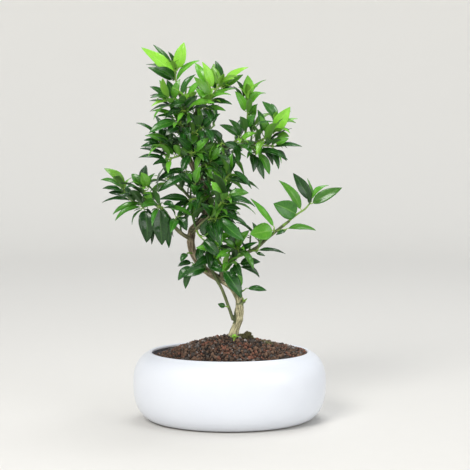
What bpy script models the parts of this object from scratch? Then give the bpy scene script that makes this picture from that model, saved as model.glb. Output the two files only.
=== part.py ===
"""Citrus bonsai in an oval pot: pot, soil, trunk and leafy shoots at their real size.

Metres, +Z up. The pot stands on Z = 0, centred on the origin, and its long side lies along X.
Tables of points and sizes are in millimetres and are scaled by MM where they are used.
"""
import math
import random

import bmesh
import bpy
from mathutils import Matrix, Quaternion, Vector
from mathutils.bvhtree import BVHTree

NAME = "citrus_bonsai"
MM = 0.001
GAP = 0.3 * MM              # left between solids that touch
MERGE = 0.00001             # merge distance for caps and turned profiles

# Pot
POT_WIDTH = 215 * MM
POT_DEPTH = 175 * MM
POT_HEIGHT = 77 * MM
POT_FOOT_WIDTH = 152 * MM
POT_MOUTH_WIDTH = 174 * MM
POT_BELLY_HEIGHT = 43 * MM
POT_SHOULDER_RUN = 30 * MM      # how far in and up the shoulder would run to a flat top
POT_SHOULDER_RISE = 35 * MM
POT_WALL = 6 * MM
POT_LIP = 2.6 * MM              # how far the rounded lip reaches below the rim
POT_FLOOR = 8 * MM
POT_STEPS = 32
DRAIN_SPACING = 70 * MM
DRAIN_RADIUS = 7 * MM

# Soil and what lies in it
SOIL_PEAK = 95.5 * MM
SOIL_EDGE = 67.5 * MM
SOIL_TILT = 0.05            # the heap is higher towards +X
SOIL_SLOPE = 1.3            # shape of its flanks; 1 would make it a cone
SOIL_RIM_GAP = 1.0 * MM     # the wall is faceted, so the heap's edge keeps further off
SOIL_LUMP = 0.9 * MM        # how far the granules' lumps rise and dip
SOIL_RINGS = 10             # rings of lumps on the heap
SOIL_LUMPY = 0.8            # share of its radius within which it has lumps, clear of the lip
SCREEN_SIDE = 22 * MM
SCREEN_THICKNESS = 1.4 * MM
SCREEN_HOLE = 4.2 * MM
SCREEN_HOLES = 2

# Leaves and stems
LEAF_THICKNESS = 0.8 * MM
PETIOLE_WIDTH = 1.0 * MM
LEAF_FOLD = 0.16            # how far the edges rise, as a share of the half width
LEAF_ARCH = 0.13            # how far the midrib bulges, as a share of the length
LEAF_SECTIONS = ((0.0, 0.14), (0.34, 0.97), (0.70, 0.72))   # share of length, of width
CLEARANCE = 0.5 * MM
STEM_RADII = (1.25, 0.85)   # at the foot and at the tip of a shoot, mm
PATH_STEPS = 8              # places for leaves between two points of a stem

OLD, MID, NEW = 0.0, 0.5, 1.0   # how fresh a leaf is

# Wood: x, y, z, radius
TRUNK_PATH = [
    (3, 1, 76, 8.5), (4, 1, 88, 7.0), (5, 0, 98, 5.2), (9, 0, 110, 4.7), (10.5, -1, 120, 5.4),
    (11, -1, 130, 4.2), (8.5, 0, 141, 4.8), (2, 1, 150, 4.5), (-8, 2, 156, 4.3),
    (-20, 4, 162, 4.1), (-30, 4, 170, 4.0), (-38, 4, 180, 3.8), (-42, 3, 191, 4.0),
    (-43, 2, 202, 4.4), (-41, 1, 212, 4.3), (-33, 0, 221, 3.8), (-26, -1, 231, 3.5),
    (-23, -1, 242, 3.2), (-25, 0, 256, 3.1), (-32, 2, 268, 3.2), (-40, 3, 281, 3.1),
    (-46, 3, 295, 2.9), (-48, 1, 310, 2.6), (-46, -1, 330, 2.1), (-50, -2, 348, 1.8),
    (-56, -1, 364, 1.5),
]
BRANCHES = {
    "lower_right": [
        (-9, 2, 158, 2.4), (-9, 0, 168, 2.3), (-4, -2, 176, 2.2), (6, -3, 182, 2.1),
        (18, -4, 187, 2.0), (30, -6, 193, 1.9), (41, -7, 203, 1.8), (52, -8, 212, 1.7),
        (66, -9, 223, 1.5),
    ],
    "left": [
        (-43, 2, 203, 2.4), (-51, -2, 207, 2.2), (-59, -5, 214, 2.1), (-66, -7, 225, 1.9),
        (-76, -8, 237, 1.7), (-88, -9, 243, 1.5), (-101, -9, 241, 1.3),
    ],
    "right": [
        (-47, 2, 301, 2.2), (-37, 4, 305, 2.0), (-24, 5, 304, 1.9), (-10, 5, 305, 1.8),
        (4, 5, 305, 1.7), (18, 4, 307, 1.6), (34, 3, 311, 1.3),
    ],
    "top": [
        (-46, -1, 331, 1.9), (-39, -4, 340, 1.8), (-31, -6, 349, 1.6), (-21, -8, 360, 1.3),
    ],
    "upper_left": [
        (-46, 3, 294, 1.9), (-53, -3, 299, 1.8), (-62, -7, 303, 1.5),
    ],
    "lower_rear": [
        (-40, 4, 184, 2.4), (-31, 16, 193, 2.2), (-19, 31, 206, 1.9), (-7, 44, 220, 1.6),
    ],
    "left_rear": [
        (-27, -1, 230, 2.2), (-37, 13, 239, 2.0), (-48, 28, 250, 1.7), (-58, 40, 261, 1.4),
    ],
    "upper_rear": [
        (-47, 2, 300, 2.0), (-40, 14, 309, 1.8), (-30, 27, 320, 1.5),
    ],
    "lower_front": [
        (-41, 1, 210, 2.3), (-34, -12, 217, 2.1), (-25, -23, 226, 1.8), (-16, -31, 236, 1.5),
    ],
    "middle_front": [
        (-25, 0, 255, 2.1), (-18, -10, 261, 1.8), (-10, -19, 267, 1.5),
    ],
    "sucker": [
        (4, -1, 112, 1.9), (0, -4, 124, 1.8), (-4, -5, 135, 1.8), (-9, -5, 148, 1.7),
        (-15, -4, 158, 1.6), (-22, -5, 172, 1.4), (-27, -8, 183, 1.2),
    ],
    "stub": [(11, -1, 130, 2.0), (17, -2, 133, 1.7)],
}

# Openings in the crown, where no filling leaf lies: centre x, z, half width, half height
OPENINGS = [(-3, 328, 14, 24), (20, 278, 14, 10), (24, 227, 12, 9), (-56, 186, 22, 14),
            (-108, 224, 10, 8), (-58, 252, 14, 9), (-82, 290, 12, 7)]

# Shoots: the stem's points (x, y, z), then its leaves, then how many more leaves fill it.
# A leaf is the blade's base (x, z) and tip (x, z), its width, its roll in degrees
# (0 faces the front, 90 faces up), how far its tip lies behind the stem, and its freshness.
SHOOTS = {
    "top_left_1": ([(-55, -1, 362), (-59, 0, 376), (-61, 1, 389)], [
        (-57, 392, -50, 420, 15, 15, -4, NEW),
        (-62, 387, -97, 414, 15, 35, -9, NEW),
        (-63, 391, -85, 418, 12, 30, 9, MID),
        (-60, 390, -68, 410, 9, 55, 2, OLD),
        (-62, 381, -93, 396, 9, 55, 6, OLD),
        (-61, 380, -82, 391, 13, 30, -4, OLD),
        (-58, 379, -33, 400, 10, 50, 3, MID),
    ], 1),
    "top_left_2": ([(-49, -2, 345), (-59, -8, 350), (-68, -11, 357)], [
        (-69, 358, -77, 378, 12, 25, -2, MID),
        (-69, 360, -89, 365, 11, 40, -10, MID),
        (-68, 355, -88, 361, 9, 45, 6, OLD),
        (-66, 351, -88, 355, 8, 60, -3, OLD),
        (-61, 358, -54, 379, 13, 20, -6, NEW),
    ], 2),
    "top_left_3": ([(-48, -2, 340), (-46, -11, 347), (-46, -17, 356)], [
        (-52, 362, -37, 384, 10, 40, 0, OLD),
        (-45, 360, -30, 378, 9, 40, -5, MID),
        (-48, 352, -66, 349, 12, 35, -6, OLD),
    ], 3),
    "top_middle_1": ([(-26, -7, 355), (-17, -9, 364), (-12, -9, 372)], [
        (-19, 371, -30, 398, 12, 15, -6, NEW),
        (-12, 374, -19, 394, 13, 15, -1, NEW),
        (-10, 375, -16, 400, 11, 35, 9, OLD),
        (-6, 374, 21, 392, 10, 40, -3, NEW),
        (-8, 370, 3, 386, 10, 30, 8, OLD),
    ], 1),
    "top_middle_2": ([(-35, -5, 345), (-29, -13, 349), (-22, -19, 356)], [
        (-22, 360, -39, 381, 13, 25, -5, NEW),
        (-19, 358, 7, 368, 10, 50, -4, MID),
        (-18, 353, 3, 351, 9, 55, -7, OLD),
        (-23, 347, -4, 344, 10, 35, -7, MID),
        (-28, 355, -37, 368, 10, 30, -10, MID),
    ], 1),
    "top_right_1": ([(13, 4, 306), (18, 3, 322), (20, 2, 340), (20, 1, 358)], [
        (20, 361, 20, 384, 13, 10, -2, NEW),
        (16, 360, 7, 378, 9, 50, -5, OLD),
        (23, 365, 41, 379, 9, 60, 4, MID),
        (23, 355, 35, 365, 12, 15, -7, NEW),
        (17, 345, 6, 366, 12, 30, -5, MID),
        (22, 342, 31, 352, 11, 30, -9, OLD),
        (20, 327, 27, 341, 13, 20, -10, OLD),
    ], 3),
    "right_1": ([(31, 3, 310), (42, 2, 316), (49, 1, 323), (51, 0, 333)], [
        (51, 322, 67, 349, 19, 5, -8, NEW),
        (50, 338, 36, 355, 11, 30, 0, OLD),
        (43, 321, 33, 339, 13, 25, -9, NEW),
        (54, 332, 74, 331, 9, 55, 6, MID),
        (52, 318, 66, 316, 10, 40, -3, MID),
    ], 2),
    "right_2": ([(27, 3, 309), (38, -4, 306), (48, -8, 306)], [
        (51, 309, 65, 314, 10, 25, -5, NEW),
        (50, 305, 80, 305, 9, 55, -4, OLD),
        (51, 301, 63, 289, 9, 40, 1, OLD),
        (43, 303, 54, 280, 10, 40, -6, OLD),
        (37, 304, 48, 284, 9, 35, 4, OLD),
    ], 1),
    "right_3": ([(22, 4, 308), (26, -3, 302), (29, -8, 297)], [
        (29, 294, 38, 269, 10, 30, -4, OLD),
        (32, 297, 44, 274, 11, 25, 4, MID),
        (25, 297, 26, 277, 12, 25, -9, OLD),
    ], 2),
    "right_4": ([(0, 5, 305), (5, -2, 309), (10, -7, 314)], [
        (9, 317, -11, 329, 10, 35, -3, OLD),
        (12, 318, -1, 335, 9, 35, 4, OLD),
        (6, 310, -22, 307, 10, 45, -4, OLD),
        (14, 312, 30, 320, 10, 40, -5, MID),
    ], 2),
    "upper_left_1": ([(-57, -5, 301), (-67, -9, 306), (-76, -11, 309)], [
        (-67, 309, -93, 317, 13, 40, -8, MID),
        (-73, 304, -98, 305, 10, 40, 3, OLD),
        (-80, 315, -103, 331, 9, 65, 1, MID),
        (-74, 313, -72, 327, 11, 25, -6, OLD),
    ], 2),
    "upper_left_2": ([(-50, 0, 297), (-58, -11, 294), (-67, -15, 291)], [
        (-71, 291, -100, 293, 9, 55, -3, OLD),
        (-69, 288, -84, 285, 9, 40, -7, OLD),
        (-62, 297, -76, 305, 10, 35, -6, MID),
    ], 2),
    "upper_left_3": ([(-47, 0, 320), (-52, -9, 328), (-58, -13, 334)], [
        (-59, 333, -88, 320, 12, 40, -7, MID),
        (-62, 337, -86, 344, 10, 45, 3, NEW),
        (-57, 338, -66, 352, 11, 30, -5, MID),
        (-55, 328, -70, 317, 12, 25, -10, OLD),
    ], 2),
    "left_1": ([(-96, -9, 242), (-107, -9, 245), (-114, -9, 252), (-118, -9, 260)], [
        (-117, 263, -138, 281, 13, 25, -5, NEW),
        (-120, 261, -143, 268, 9, 50, 4, MID),
        (-119, 256, -140, 259, 9, 55, -4, OLD),
        (-115, 251, -134, 254, 9, 50, 5, OLD),
        (-111, 246, -141, 243, 9, 55, -2, OLD),
    ], 2),
    "left_2": ([(-91, -9, 243), (-94, -14, 251), (-95, -16, 260)], [
        (-91, 262, -97, 277, 14, 15, -4, NEW),
        (-99, 262, -108, 275, 12, 30, 4, MID),
        (-89, 260, -82, 276, 9, 40, 3, MID),
        (-92, 255, -86, 244, 12, 20, -6, NEW),
    ], 2),
    "left_3": ([(-94, -9, 242), (-94, -17, 241), (-95, -22, 238)], [
        (-93, 235, -91, 200, 17, 10, -3, OLD),
        (-90, 237, -86, 197, 12, 30, 7, OLD),
        (-98, 239, -125, 224, 9, 50, -5, MID),
        (-99, 242, -129, 230, 9, 50, 4, MID),
    ], 1),
    "left_4": ([(-79, -8, 239), (-78, -16, 240), (-76, -21, 239)], [
        (-76, 236, -74, 197, 18, 10, -3, OLD),
        (-73, 237, -67, 193, 13, 25, 8, OLD),
        (-80, 243, -96, 240, 13, 30, -6, MID),
        (-72, 243, -60, 240, 9, 40, -7, OLD),
    ], 1),
    "left_5": ([(-23, -1, 247), (-33, -10, 248), (-43, -14, 247)], [
        (-46, 247, -78, 247, 12, 35, -5, OLD),
        (-42, 243, -64, 236, 10, 40, 4, OLD),
        (-37, 253, -42, 264, 12, 25, -6, NEW),
    ], 2),
    "left_6": ([(-62, -6, 219), (-60, -13, 224), (-58, -17, 228)], [
        (-57, 227, -47, 213, 13, 25, -5, OLD),
        (-62, 225, -62, 205, 11, 30, 4, OLD),
    ], 2),
    "left_7": ([(-36, 2, 275), (-42, -8, 277), (-48, -12, 278)], [
        (-50, 280, -81, 265, 11, 50, -2, OLD),
        (-48, 274, -79, 255, 17, 30, -8, OLD),
    ], 1),
    "lower_left_1": ([(-24, 4, 165), (-28, -4, 168), (-27, -10, 171)], [
        (-27, 171, -51, 162, 18, 20, -6, OLD),
    ], 1),
    "lower_left_2": ([(-33, 4, 174), (-37, -4, 175), (-41, -9, 174)], [
        (-43, 172, -57, 157, 12, 30, -6, OLD),
        (-41, 170, -49, 147, 11, 35, 3, OLD),
        (-43, 176, -58, 171, 10, 45, 7, OLD),
    ], 0),
    "lower_left_3": ([(-40, 4, 185), (-44, -3, 187), (-47, -7, 187)], [
        (-47, 186, -54, 178, 10, 40, -4, MID),
    ], 1),
    "lower_right_1": ([(59, -8, 218), (74, -10, 230), (83, -10, 236), (89, -10, 243)], [
        (92, 243, 124, 260, 15, 25, -5, NEW),
        (89, 247, 70, 276, 15, 15, 3, OLD),
        (88, 243, 84, 254, 7, 35, -7, OLD),
        (78, 237, 54, 268, 13, 20, -2, NEW),
        (73, 231, 48, 243, 19, 5, -7, NEW),
    ], 0),
    "lower_right_2": ([(47, -7, 208), (49, -12, 211), (49, -16, 215)], [
        (48, 218, 23, 248, 10, 45, 3, MID),
        (47, 213, 22, 209, 18, 10, -7, NEW),
    ], 0),
    "lower_right_3": ([(52, -8, 212), (58, -11, 213), (63, -13, 214)], [
        (65, 215, 95, 213, 10, 50, -4, MID),
        (61, 212, 51, 208, 6, 40, -6, OLD),
    ], 0),
    "lower_right_4": ([(33, -6, 196), (33, -10, 199), (32, -14, 203)], [
        (32, 204, 25, 222, 9, 35, -3, OLD),
    ], 0),
    "lower_right_5": ([(24, -5, 190), (27, -10, 190), (31, -14, 190)], [
        (33, 191, 62, 187, 8, 50, -4, OLD),
        (30, 188, 39, 185, 5, 30, -6, OLD),
    ], 1),
    "lower_right_6": ([(3, -3, 180), (6, -8, 178), (10, -13, 175)], [
        (12, 176, 34, 178, 12, 35, -3, OLD),
        (13, 172, 33, 160, 9, 45, 4, OLD),
        (9, 171, 2, 161, 12, 25, -7, OLD),
    ], 1),
    "lower_right_7": ([(-9, 0, 169), (-9, -8, 170), (-7, -13, 169)], [
        (-5, 167, 13, 138, 14, 15, -4, OLD),
    ], 1),
    "lower_right_8": ([(9, 0, 139), (13, -6, 144), (16, -9, 146)], [
        (21, 148, 41, 146, 9, 50, -3, OLD),
    ], 0),
    "sucker_1": ([(-1, -4, 127), (-4, -8, 128)], [
        (-5, 128, -13, 131, 6, 25, -2, MID),
    ], 0),
    "centre_1": ([(-13, -15, 265), (-5, -22, 270), (1, -25, 276)], [
        (5, 278, 24, 259, 9, 35, -6, OLD),
        (1, 270, 19, 264, 9, 40, -7, OLD),
        (-4, 267, -18, 257, 13, 20, -9, NEW),
        (0, 280, 3, 298, 11, 25, -4, MID),
    ], 3),
    "centre_2": ([(-19, -28, 233), (-10, -35, 243), (-3, -38, 251)], [
        (1, 251, 28, 240, 8, 50, -4, OLD),
        (0, 254, 21, 255, 11, 35, 4, MID),
        (-6, 247, 21, 244, 8, 50, -9, OLD),
        (-8, 253, -20, 268, 12, 20, -6, NEW),
    ], 3),
    "centre_3": ([(-29, -18, 222), (-21, -27, 226), (-14, -32, 227)], [
        (-11, 226, 16, 203, 15, 20, -5, MID),
        (-15, 223, -12, 203, 14, 15, -10, NEW),
        (-20, 231, -31, 245, 12, 30, -6, OLD),
        (-10, 231, 20, 218, 8, 50, 5, OLD),
    ], 3),
    "centre_4": ([(-37, -6, 214), (-34, -14, 208), (-30, -20, 204)], [
        (-28, 202, -10, 184, 14, 20, -6, OLD),
        (-30, 209, -24, 226, 12, 25, -8, OLD),
    ], 2),
    "centre_5": ([(-25, -7, 180), (-20, -13, 187), (-15, -17, 194)], [
        (-13, 196, -8, 213, 11, 20, -5, NEW),
        (-17, 190, 3, 186, 12, 25, -7, MID),
        (-14, 200, 6, 211, 10, 30, -4, MID),
    ], 2),
    "centre_6": ([(8, -3, 183), (9, -10, 188), (8, -15, 193)], [
        (9, 195, 14, 210, 11, 25, -5, NEW),
        (5, 194, -8, 204, 10, 30, -5, MID),
        (12, 191, 31, 200, 9, 40, -4, OLD),
    ], 1),
    "centre_7": ([(-38, 3, 277), (-30, -8, 284), (-21, -13, 289)], [
        (-20, 291, -8, 305, 11, 25, -6, MID),
        (-17, 288, 8, 290, 13, 30, -6, OLD),
        (-26, 283, -15, 268, 12, 20, -9, MID),
    ], 3),
    "centre_8": ([(-47, 0, 315), (-38, -9, 321), (-30, -14, 326)], [
        (-28, 327, -10, 341, 12, 30, -6, OLD),
        (-27, 324, -18, 309, 12, 25, -8, OLD),
        (-36, 317, -49, 305, 13, 25, -9, MID),
        (-33, 328, -44, 340, 12, 30, -5, OLD),
    ], 2),
    "centre_9": ([(-43, 3, 288), (-43, -7, 292), (-41, -15, 299)], [
        (-42, 302, -57, 316, 12, 25, -8, OLD),
        (-38, 300, -22, 315, 11, 30, -5, MID),
        (-44, 295, -52, 277, 12, 30, -9, OLD),
    ], 1),
    "centre_10": ([(-47, 0, 336), (-49, -9, 342), (-51, -17, 345)], [
        (-53, 346, -70, 336, 11, 30, -7, OLD),
        (-48, 349, -35, 361, 12, 25, -7, OLD),
        (-50, 343, -38, 330, 12, 25, -10, MID),
    ], 1),
    "centre_11": ([(-17, 5, 304), (-13, -5, 308), (-8, -12, 309)], [
        (-5, 309, 14, 300, 12, 30, -7, OLD),
        (-9, 312, -21, 324, 11, 30, -4, OLD),
        (-12, 306, -30, 299, 12, 25, -9, MID),
    ], 1),
    "centre_12": ([(-24, -1, 251), (-33, -11, 258), (-39, -18, 264)], [
        (-41, 266, -56, 276, 12, 30, -6, OLD),
        (-37, 266, -31, 284, 12, 25, -6, MID),
        (-34, 260, -22, 247, 12, 25, -9, OLD),
    ], 1),
    "rear_1": ([(-13, 38, 213), (-3, 46, 222), (6, 50, 232)], [], 6),
    "rear_2": ([(-25, 23, 200), (-20, 36, 199), (-14, 44, 195)], [], 5),
    "rear_3": ([(-53, 34, 256), (-63, 42, 262), (-71, 47, 268)], [], 6),
    "rear_4": ([(-43, 21, 245), (-35, 34, 247), (-27, 42, 251)], [], 6),
    "rear_5": ([(-35, 20, 315), (-25, 31, 322), (-17, 37, 329)], [], 6),
    "rear_6": ([(-44, 7, 304), (-50, 20, 308), (-57, 29, 311)], [], 6),
    "rear_7": ([(-12, 5, 305), (-8, 16, 302), (-3, 25, 297)], [], 6),
    "rear_8": ([(-28, 1, 262), (-22, 12, 268), (-14, 21, 275)], [], 6),
}

CUTTERS = None
PARTS = None


def clear_scene():
    """Remove every object, then make one collection for the part and one for its cutters."""
    global CUTTERS, PARTS
    for obj in list(bpy.data.objects):
        bpy.data.objects.remove(obj, do_unlink=True)
    PARTS = bpy.data.collections.new(NAME)
    CUTTERS = bpy.data.collections.new("cutters")
    for collection in (PARTS, CUTTERS):
        bpy.context.scene.collection.children.link(collection)


def material(name, colour, roughness):
    """A Principled BSDF of one colour."""
    made = bpy.data.materials.new(name)
    made.use_nodes = True
    shader = made.node_tree.nodes["Principled BSDF"]
    shader.inputs["Base Color"].default_value = (*colour, 1.0)
    shader.inputs["Roughness"].default_value = roughness
    shader.inputs["Metallic"].default_value = 0.0
    made.diffuse_color = (*colour, 1.0)
    return made


def add_object(name, data, finish=None, collection=None):
    """Link an object to the part's collection, or to another, and give it its material."""
    obj = bpy.data.objects.new(name, data)
    (collection or PARTS).objects.link(obj)
    if finish:
        obj.data.materials.append(finish)
    return obj


def as_cutter(obj):
    """Move an object to the cutters, out of the finished part."""
    for collection in list(obj.users_collection):
        collection.objects.unlink(obj)
    CUTTERS.objects.link(obj)
    obj.hide_render = True
    obj.display_type = "WIRE"
    return obj


def boolean(target, operation, operand):
    """An exact Boolean with one object, or with every object of a collection."""
    modifier = target.modifiers.new(operation.lower(), "BOOLEAN")
    modifier.operation = operation
    modifier.solver = "EXACT"
    if isinstance(operand, bpy.types.Collection):
        modifier.operand_type = "COLLECTION"
        modifier.collection = operand
    else:
        modifier.object = operand
    return modifier


def cutter_group(name, objects):
    """A collection among the cutters that one Boolean can use whole."""
    group = bpy.data.collections.new(name)
    CUTTERS.children.link(group)
    for obj in objects:
        if obj.name not in CUTTERS.objects:
            as_cutter(obj)
        group.objects.link(obj)
    return group


def mesh_from(name, bm):
    """Turn a bmesh into a closed mesh whose faces point out."""
    bmesh.ops.recalc_face_normals(bm, faces=bm.faces)
    mesh = bpy.data.meshes.new(name)
    bm.to_mesh(mesh)
    bm.free()
    return mesh


def stem_places(points):
    """Places for leaves along a stem's straight lengths, evenly spaced in each."""
    points = [Vector(point) for point in points]
    places = []
    for start, end in zip(points, points[1:]):
        places += [start.lerp(end, step / PATH_STEPS) for step in range(PATH_STEPS)]
    return places + [points[-1]]


# ---------------------------------------------------------------- tubes: wood and stems

def tube(name, points, radii, finish=None, bevel_resolution=1, grow=0.0):
    """A closed round bar along the points (mm), as a mesh; grow makes it thicker and longer."""
    points = [Vector(point) * MM for point in points]
    start = (points[0] - points[1]).normalized() * grow
    end = (points[-1] - points[-2]).normalized() * grow
    points[0] = points[0] + start
    points[-1] = points[-1] + end
    curve = bpy.data.curves.new(name, "CURVE")
    curve.dimensions = "3D"
    curve.fill_mode = "FULL"
    curve.bevel_depth = 1.0
    curve.bevel_resolution = bevel_resolution
    curve.use_fill_caps = True
    spline = curve.splines.new("POLY")
    spline.points.add(len(points) - 1)
    for target, point, radius in zip(spline.points, points, radii):
        target.co = (*point, 1.0)
        target.radius = radius * MM + grow
    guide = bpy.data.objects.new(name, curve)
    CUTTERS.objects.link(guide)
    bpy.context.view_layer.update()
    evaluated = guide.evaluated_get(bpy.context.evaluated_depsgraph_get())
    bm = bmesh.new()
    bm.from_mesh(bpy.data.meshes.new_from_object(evaluated))
    bmesh.ops.remove_doubles(bm, verts=bm.verts, dist=MERGE)
    bpy.data.objects.remove(guide, do_unlink=True)
    mesh = mesh_from(name, bm)
    mesh.shade_smooth()
    return add_object(name, mesh, finish)


def limbs(name, grow=0.0):
    """The trunk and each branch as separate solids, by label."""
    made = {}
    for label, rows in {"trunk": TRUNK_PATH, **BRANCHES}.items():
        points = [row[:3] for row in rows]
        radii = [row[3] for row in rows]
        sides = 2 if label == "trunk" else 1
        made[label] = tube(f"{name}_{label}", points, radii, None, sides, grow)
    return made


def wood(finish):
    """The trunk and its branches, grown together into one solid."""
    pieces = limbs("wood")
    trunk = pieces.pop("trunk")
    trunk.name = "trunk"
    trunk.data.materials.append(finish)
    boolean(trunk, "UNION", cutter_group("branches", list(pieces.values())))
    return trunk


# ---------------------------------------------------------------- leaves

def rolled_normal(direction, roll):
    """The way a leaf's upper face looks: 0 degrees is to the front, 90 is up."""
    front = Vector((0, -1, 0))
    front = (front - direction * front.dot(direction)).normalized()
    up = direction.cross(front)
    if up.z < 0:
        up = -up
    return front * math.cos(math.radians(roll)) + up * math.sin(math.radians(roll))


class Leaf:
    """One leaf: where its stalk starts, its blade's base and tip, and the way it faces."""

    def __init__(self, start, base, tip, width, normal, freshness):
        self.start = Vector(start) * MM
        self.base = Vector(base) * MM
        self.tip = Vector(tip) * MM
        self.width = width * MM
        self.normal = normal
        self.freshness = freshness

    def moved(self, depth, roll, scale):
        """A copy whose tip lies further back, whose blade is turned, or which is shorter."""
        tip = self.base + (self.tip - self.base) * scale + Vector((0, depth, 0))
        axis = (tip - self.base).normalized()
        normal = Matrix.Rotation(math.radians(roll), 3, axis) @ self.normal
        leaf = Leaf((0, 0, 0), (0, 0, 0), (0, 0, 0), 0, normal, self.freshness)
        leaf.start, leaf.base, leaf.tip = self.start, self.base, tip
        leaf.width = self.width * scale
        return leaf

    def solid(self, grow=0.0, blade_only=False):
        """Corner points and faces of the leaf as one closed solid."""
        span = self.tip - self.base
        axis = span.normalized()
        normal = (self.normal - axis * self.normal.dot(axis)).normalized()
        side = axis.cross(normal)
        corners = []
        rings = []
        for along, share in LEAF_SECTIONS:
            arch = 4 * along * (1 - along) * LEAF_ARCH * span.length
            centre = self.base + span * along + normal * arch
            half = max(share * self.width, PETIOLE_WIDTH) / 2
            rings.append((centre, side, normal, half, LEAF_FOLD))
        if not blade_only:
            stalk = (self.base - self.start).normalized()
            bend = axis.rotation_difference(stalk)
            half_bend = Quaternion().slerp(bend, 0.5)
            rings[0] = (self.base, half_bend @ side, half_bend @ normal, *rings[0][3:])
            inside = self.start + stalk * STEM_RADII[1] * MM * 0.35
            rings.insert(0, (inside, bend @ side, bend @ normal, PETIOLE_WIDTH / 2, 0.0))
        for centre, side, normal, half, fold in rings:
            lift = normal * half * fold
            thick = normal * (LEAF_THICKNESS / 2 + grow)
            half += grow
            corners += [centre - side * half + lift, centre + thick,
                        centre + side * half + lift, centre - thick]
        corners.append(self.tip + (self.tip - self.base).normalized() * grow)
        faces = [(3, 2, 1, 0)]
        for ring in range(len(rings) - 1):
            for k in range(4):
                a = 4 * ring + k
                b = 4 * ring + (k + 1) % 4
                faces += [(a, b, b + 4), (a, b + 4, a + 4)]
        last = 4 * (len(rings) - 1)
        faces += [(last + k, last + (k + 1) % 4, last + 4) for k in range(4)]
        return corners, faces


# ---------------------------------------------------------------- keeping leaves apart

def rough_shell(points, radii):
    """A rough six-sided shell round a stem or branch, in metres, for clearance tests only."""
    sides = 6
    corners = []
    for index, point in enumerate(points):
        before = points[max(index - 1, 0)]
        after = points[min(index + 1, len(points) - 1)]
        axis = (after - before).normalized()
        side = axis.orthogonal().normalized() if index == 0 else side
        side = (side - axis * side.dot(axis)).normalized()
        other = axis.cross(side)
        for k in range(sides):
            turn = 2 * math.pi * k / sides
            corners.append(point + (side * math.cos(turn) + other * math.sin(turn)) * radii[index])
    faces = []
    for ring in range(len(points) - 1):
        for k in range(sides):
            a = sides * ring + k
            b = sides * ring + (k + 1) % sides
            faces.append((a, b, b + sides, a + sides))
    return corners, faces


class Shell:
    """A shape for clearance tests, with its box."""

    def __init__(self, corners, faces):
        self.low = [min(corner[k] for corner in corners) for k in range(3)]
        self.high = [max(corner[k] for corner in corners) for k in range(3)]
        self.tree = BVHTree.FromPolygons(corners, faces)

    def touches(self, other):
        if any(self.low[k] > other.high[k] or other.low[k] > self.high[k] for k in range(3)):
            return False
        return bool(self.tree.overlap(other.tree))


class Crown:
    """Every stem and leaf placed so far, so that the next leaf keeps clear of them."""

    def __init__(self):
        self.placed = []

    def add(self, owner, whole, blade):
        self.placed.append((owner, whole, blade))

    def has_room(self, owner, whole, blade):
        for other, other_whole, other_blade in self.placed:
            if other == owner:
                if blade.touches(other_blade):
                    return False
            elif whole.touches(other_whole):
                return False
        return True

    def settle(self, owner, leaf):
        """The leaf where it was asked for, or as near to that as it has room."""
        for scale in (1.0, 0.85, 0.7):
            for roll in (0, 20, -20, 40, -40):
                for depth in (0, -4, 4, -8, 8, -12, 12, -17, 17):
                    trial = leaf.moved(depth * MM, roll, scale)
                    whole = Shell(*trial.solid(CLEARANCE))
                    blade = Shell(*trial.solid(CLEARANCE, blade_only=True))
                    if self.has_room(owner, whole, blade):
                        self.add(owner, Shell(*trial.solid()),
                                 Shell(*trial.solid(blade_only=True)))
                        return trial
        return None


# ---------------------------------------------------------------- shoots

class Stem:
    """A shoot's stem, with the places on it that still have no leaf."""

    def __init__(self, points):
        self.places = stem_places(points)
        self.free = list(range(len(self.places) // 3, len(self.places) - 1))

    def take(self, wanted):
        """The free place nearest to a point (x, z), or to a place's number."""
        if isinstance(wanted, tuple):
            x, z = wanted
            best = min(self.free, key=lambda k: (self.places[k].x - x) ** 2
                       + (self.places[k].z - z) ** 2)
        else:
            best = min(self.free, key=lambda k: abs(k - wanted))
        self.free.remove(best)
        return self.places[best]

    def heading(self, place):
        """The way the stem grows at a place."""
        k = max(self.places.index(place), 1)
        return (self.places[k] - self.places[k - 1]).normalized()


def drawn_leaves(stem, rows):
    """The leaves that a shoot's table gives."""
    for base_x, base_z, tip_x, tip_z, width, roll, depth, freshness in rows:
        start = stem.take((base_x, base_z))
        base = Vector((base_x, start.y + depth * 0.25, base_z))
        tip = Vector((tip_x, start.y + depth, tip_z))
        normal = rolled_normal((tip - base).normalized(), roll)
        yield Leaf(start, base, tip, width, normal, freshness)


def filling_leaves(stem, count, chance):
    """Leaves set spirally round a stem, each turned from the last by the golden angle."""
    golden_angle = 137.5
    turn = chance.uniform(0, 360)
    for index in range(count):
        along = 0.5 + 0.5 * (index + 1) / count
        start = stem.take(round(along * (len(stem.places) - 1)))
        axis = stem.heading(start)
        out = Matrix.Rotation(math.radians(turn), 3, axis) @ axis.orthogonal().normalized()
        rise = chance.uniform(0.35, 0.9)
        droop = Vector((0, 0, -chance.uniform(0.0, 0.35)))
        heading = (out + axis * rise + droop).normalized()
        length = chance.uniform(28, 40)
        width = length * chance.uniform(0.29, 0.37)
        up = Vector((0, 0, 1)) + axis * 0.5 + out * 0.2
        normal = (up - heading * up.dot(heading)).normalized()
        base = start + heading * chance.uniform(3.5, 6.0)
        freshness = chance.choice((OLD, OLD, MID, MID, NEW if index == count - 1 else MID))
        turn += golden_angle
        yield Leaf(start, base, base + heading * length, width, normal, freshness)


def in_opening(leaf):
    """Whether a leaf's middle lies in an opening of the crown, seen from the front."""
    x, _, z = (leaf.base + leaf.tip) / 2 / MM
    return any(((x - cx) / wide) ** 2 + ((z - cz) / high) ** 2 < 1
               for cx, cz, wide, high in OPENINGS)


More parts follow.
